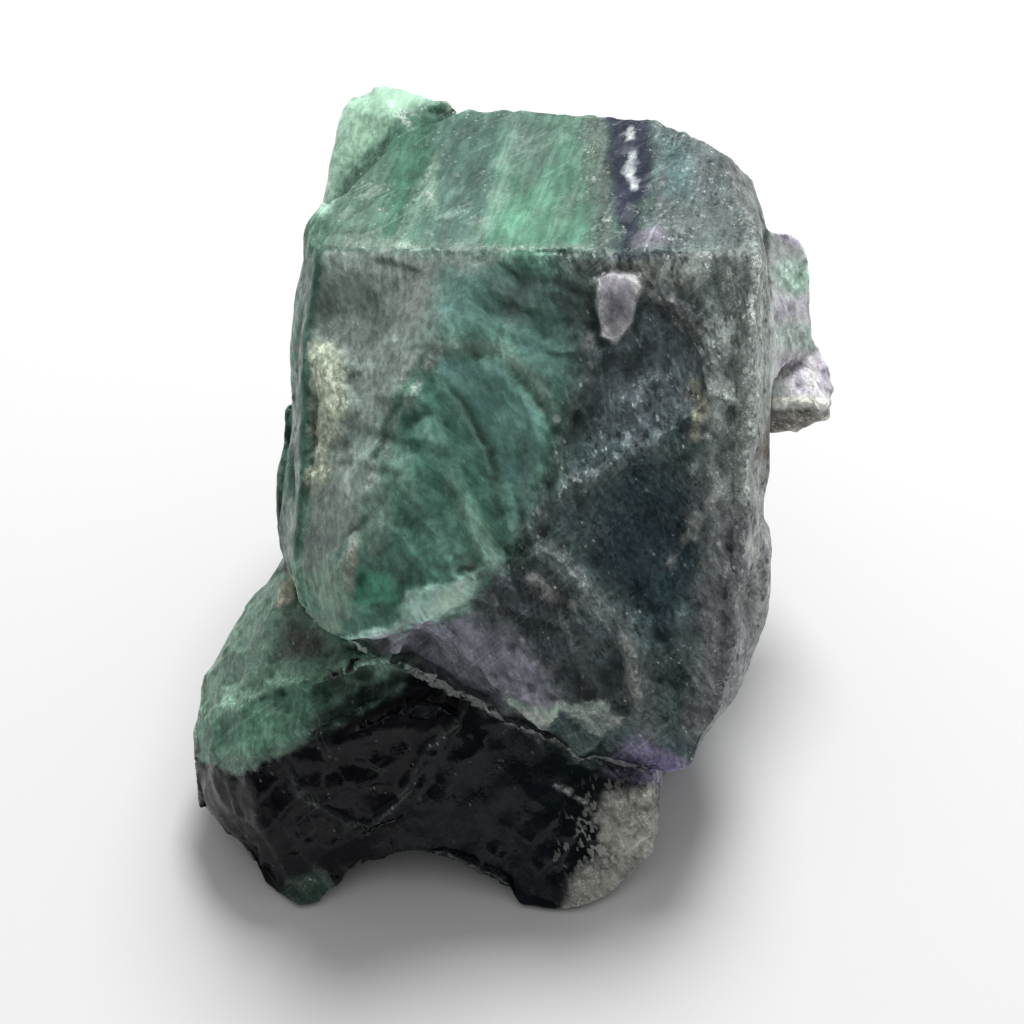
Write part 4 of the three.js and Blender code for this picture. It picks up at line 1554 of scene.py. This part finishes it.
    def _cleavage(self, board: Board) -> Wire:
        """Return the thin straight lines where splits inside the crystal reach the surface.

        Args:
            board: The material's node tree.

        Returns:
            The share of line, 0 between them.
        """
        total: Value = 0.0
        for turn_deg in self.split_turns_deg:
            sheets = board.noise(board.place(turn_deg, (1.0, 0.06, 0.06)), 2.6, 2.0, 0.6)
            line = board.rise(board.maths("ABSOLUTE", sheets - 0.5), 0.020, 0.006)
            shown = board.rise(board.noise(board.place(turn_deg, (0.6, 1.0, 0.6)), 4.5, 2.0, 0.6), 0.50, 0.58)
            total = line * shown + total
        return board.maths("MINIMUM", total, 1.0)

    def _roughness(self, board: Board, place: Wire) -> Wire:
        """Work out the roughness: the zones' own, patchy, and higher on worn edges.

        Args:
            board: The material's node tree.
            place: The place in millimetres.

        Returns:
            The roughness.
        """
        patches = board.rise(board.noise(place, 2.0, 3.0, 0.65), 0.35, 0.65, -0.14, 0.14)
        rough = board.field("rough") + patches + board.field("edge") * 0.15
        return board.maths("MINIMUM", board.maths("MAXIMUM", rough, 0.10), 0.9)

    def _bump(self, board: Board, place: Wire, cells: list[Cells]) -> Wire:
        """Return the normal of tiny flat facets, each turned its own way, with the finest grain on them.

        Args:
            board: The material's node tree.
            place: The place in millimetres.
            cells: The tiny and the small facets.

        Returns:
            The normal.
        """
        grain = board.field("grain")
        normal = board.wire(board.node("ShaderNodeNewGeometry"), "Normal")
        for facet, (calm_tilt, rough_tilt) in zip(cells, self.facet_tilts):
            turned = board.along("SUBTRACT", facet.colour, (0.5, 0.5, 0.5))
            tilt = board.rise(grain, 0.10, 1.20, calm_tilt, rough_tilt)
            normal = board.along("ADD", normal, board.along("SCALE", turned, tilt))
        normal = board.along("NORMALIZE", normal)
        bump = board.node("ShaderNodeBump", None, {
            "Strength": 0.4, "Distance": self.bump_mm * MM, "Height": board.noise(place, 0.5, 2.0, 0.7),
            "Normal": normal})
        return board.wire(bump)


@dataclass(frozen=True)
class FloorFinish:
    """The plain pale floor of the studio."""

    colour: Colour = (0.81, 0.81, 0.81)
    rough: float = 0.9

    def build(self) -> bpy.types.Material:
        """Make the material.

        Returns:
            The material.
        """
        material = bpy.data.materials.new("floor")
        board = Board(material)
        shader = board.node("ShaderNodeBsdfPrincipled", None, {
            "Base Color": self.colour, "Roughness": self.rough, "Specular IOR Level": 0.0})
        board.node("ShaderNodeOutputMaterial", None, {"Surface": board.wire(shader)})
        return material


@dataclass(frozen=True)
class Studio:
    """Soft light from all round, one broad lamp behind and above, and a pale floor."""

    sky_front: float = 0.13
    sky_back: float = 0.53
    floor_width_m: float = 6.0
    lamp_place_m: tuple[float, float, float] = (0.10, 0.42, 0.70)
    lamp_width_m: float = 0.32
    lamp_watts: float = 6.5
    aim_m: tuple[float, float, float] = (0.0, 0.0, 0.03)

    def build(self) -> None:
        """Make the sky, the lamp and the floor."""
        scene = bpy.context.scene
        scene.view_settings.view_transform = "Standard"
        world = bpy.data.worlds.new("sky")
        board = Board(world)
        ways = board.node("ShaderNodeSeparateXYZ", None, {
            0: board.wire(board.node("ShaderNodeTexCoord"), "Generated")})
        behind = board.wire(ways, "Y") * 0.8 + board.wire(ways, "Z") * 0.6
        strength = board.rise(behind, -0.5, 0.8, self.sky_front, self.sky_back)
        background = board.node("ShaderNodeBackground", None, {
            "Color": (1.0, 1.0, 1.0), "Strength": strength})
        board.node("ShaderNodeOutputWorld", None, {"Surface": board.wire(background)})
        scene.world = world
        data = bpy.data.lights.new("lamp", "AREA")
        data.shape = "DISK"
        data.size = self.lamp_width_m
        data.energy = self.lamp_watts
        lamp = bpy.data.objects.new("lamp", data)
        scene.collection.objects.link(lamp)
        lamp.location = self.lamp_place_m
        lamp.rotation_euler = (Vector(self.aim_m) - lamp.location).to_track_quat("-Z", "Y").to_euler()
        half = self.floor_width_m / 2.0
        mesh = bpy.data.meshes.new("floor")
        mesh.from_pydata([(-half, -half, 0.0), (half, -half, 0.0), (half, half, 0.0), (-half, half, 0.0)], [],
                         [(0, 1, 2, 3)])
        floor = bpy.data.objects.new("floor", mesh)
        scene.collection.objects.link(floor)
        mesh.materials.append(FloorFinish().build())


@dataclass(frozen=True)
class Stone:
    """The piece of fluorite."""

    skin: Skin
    finish: FluoriteFinish = FluoriteFinish()

    def build(self, solid: bpy.types.Object) -> bpy.types.Object:
        """Make the dressed stone.

        Args:
            solid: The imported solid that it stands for.

        Returns:
            The dressed stone.
        """
        stone = self.skin.build(solid)
        stone.data.materials.append(self.finish.build())
        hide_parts(NODE)
        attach(stone, BODY)
        return stone


def corners(box: tuple[Vector, Vector]) -> list[list[float]]:
    """Return a box's lowest and highest corner as plain lists."""
    return [list(corner) for corner in box]


def main() -> None:
    """Build the camera, the studio and the stone, and log the stone's vertex and face counts."""
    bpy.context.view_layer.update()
    camera = PictureCamera()
    camera.build()
    LOG.info("camera set")
    Studio().build()
    LOG.info("studio set")
    stone = Stone(Skin(camera)).build(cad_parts[NODE])
    LOG.info("%s: %d vertices, %d faces", stone.name, len(stone.data.vertices), len(stone.data.polygons))


if __name__ == "__main__":
    logging.basicConfig(level=logging.INFO)
    main()
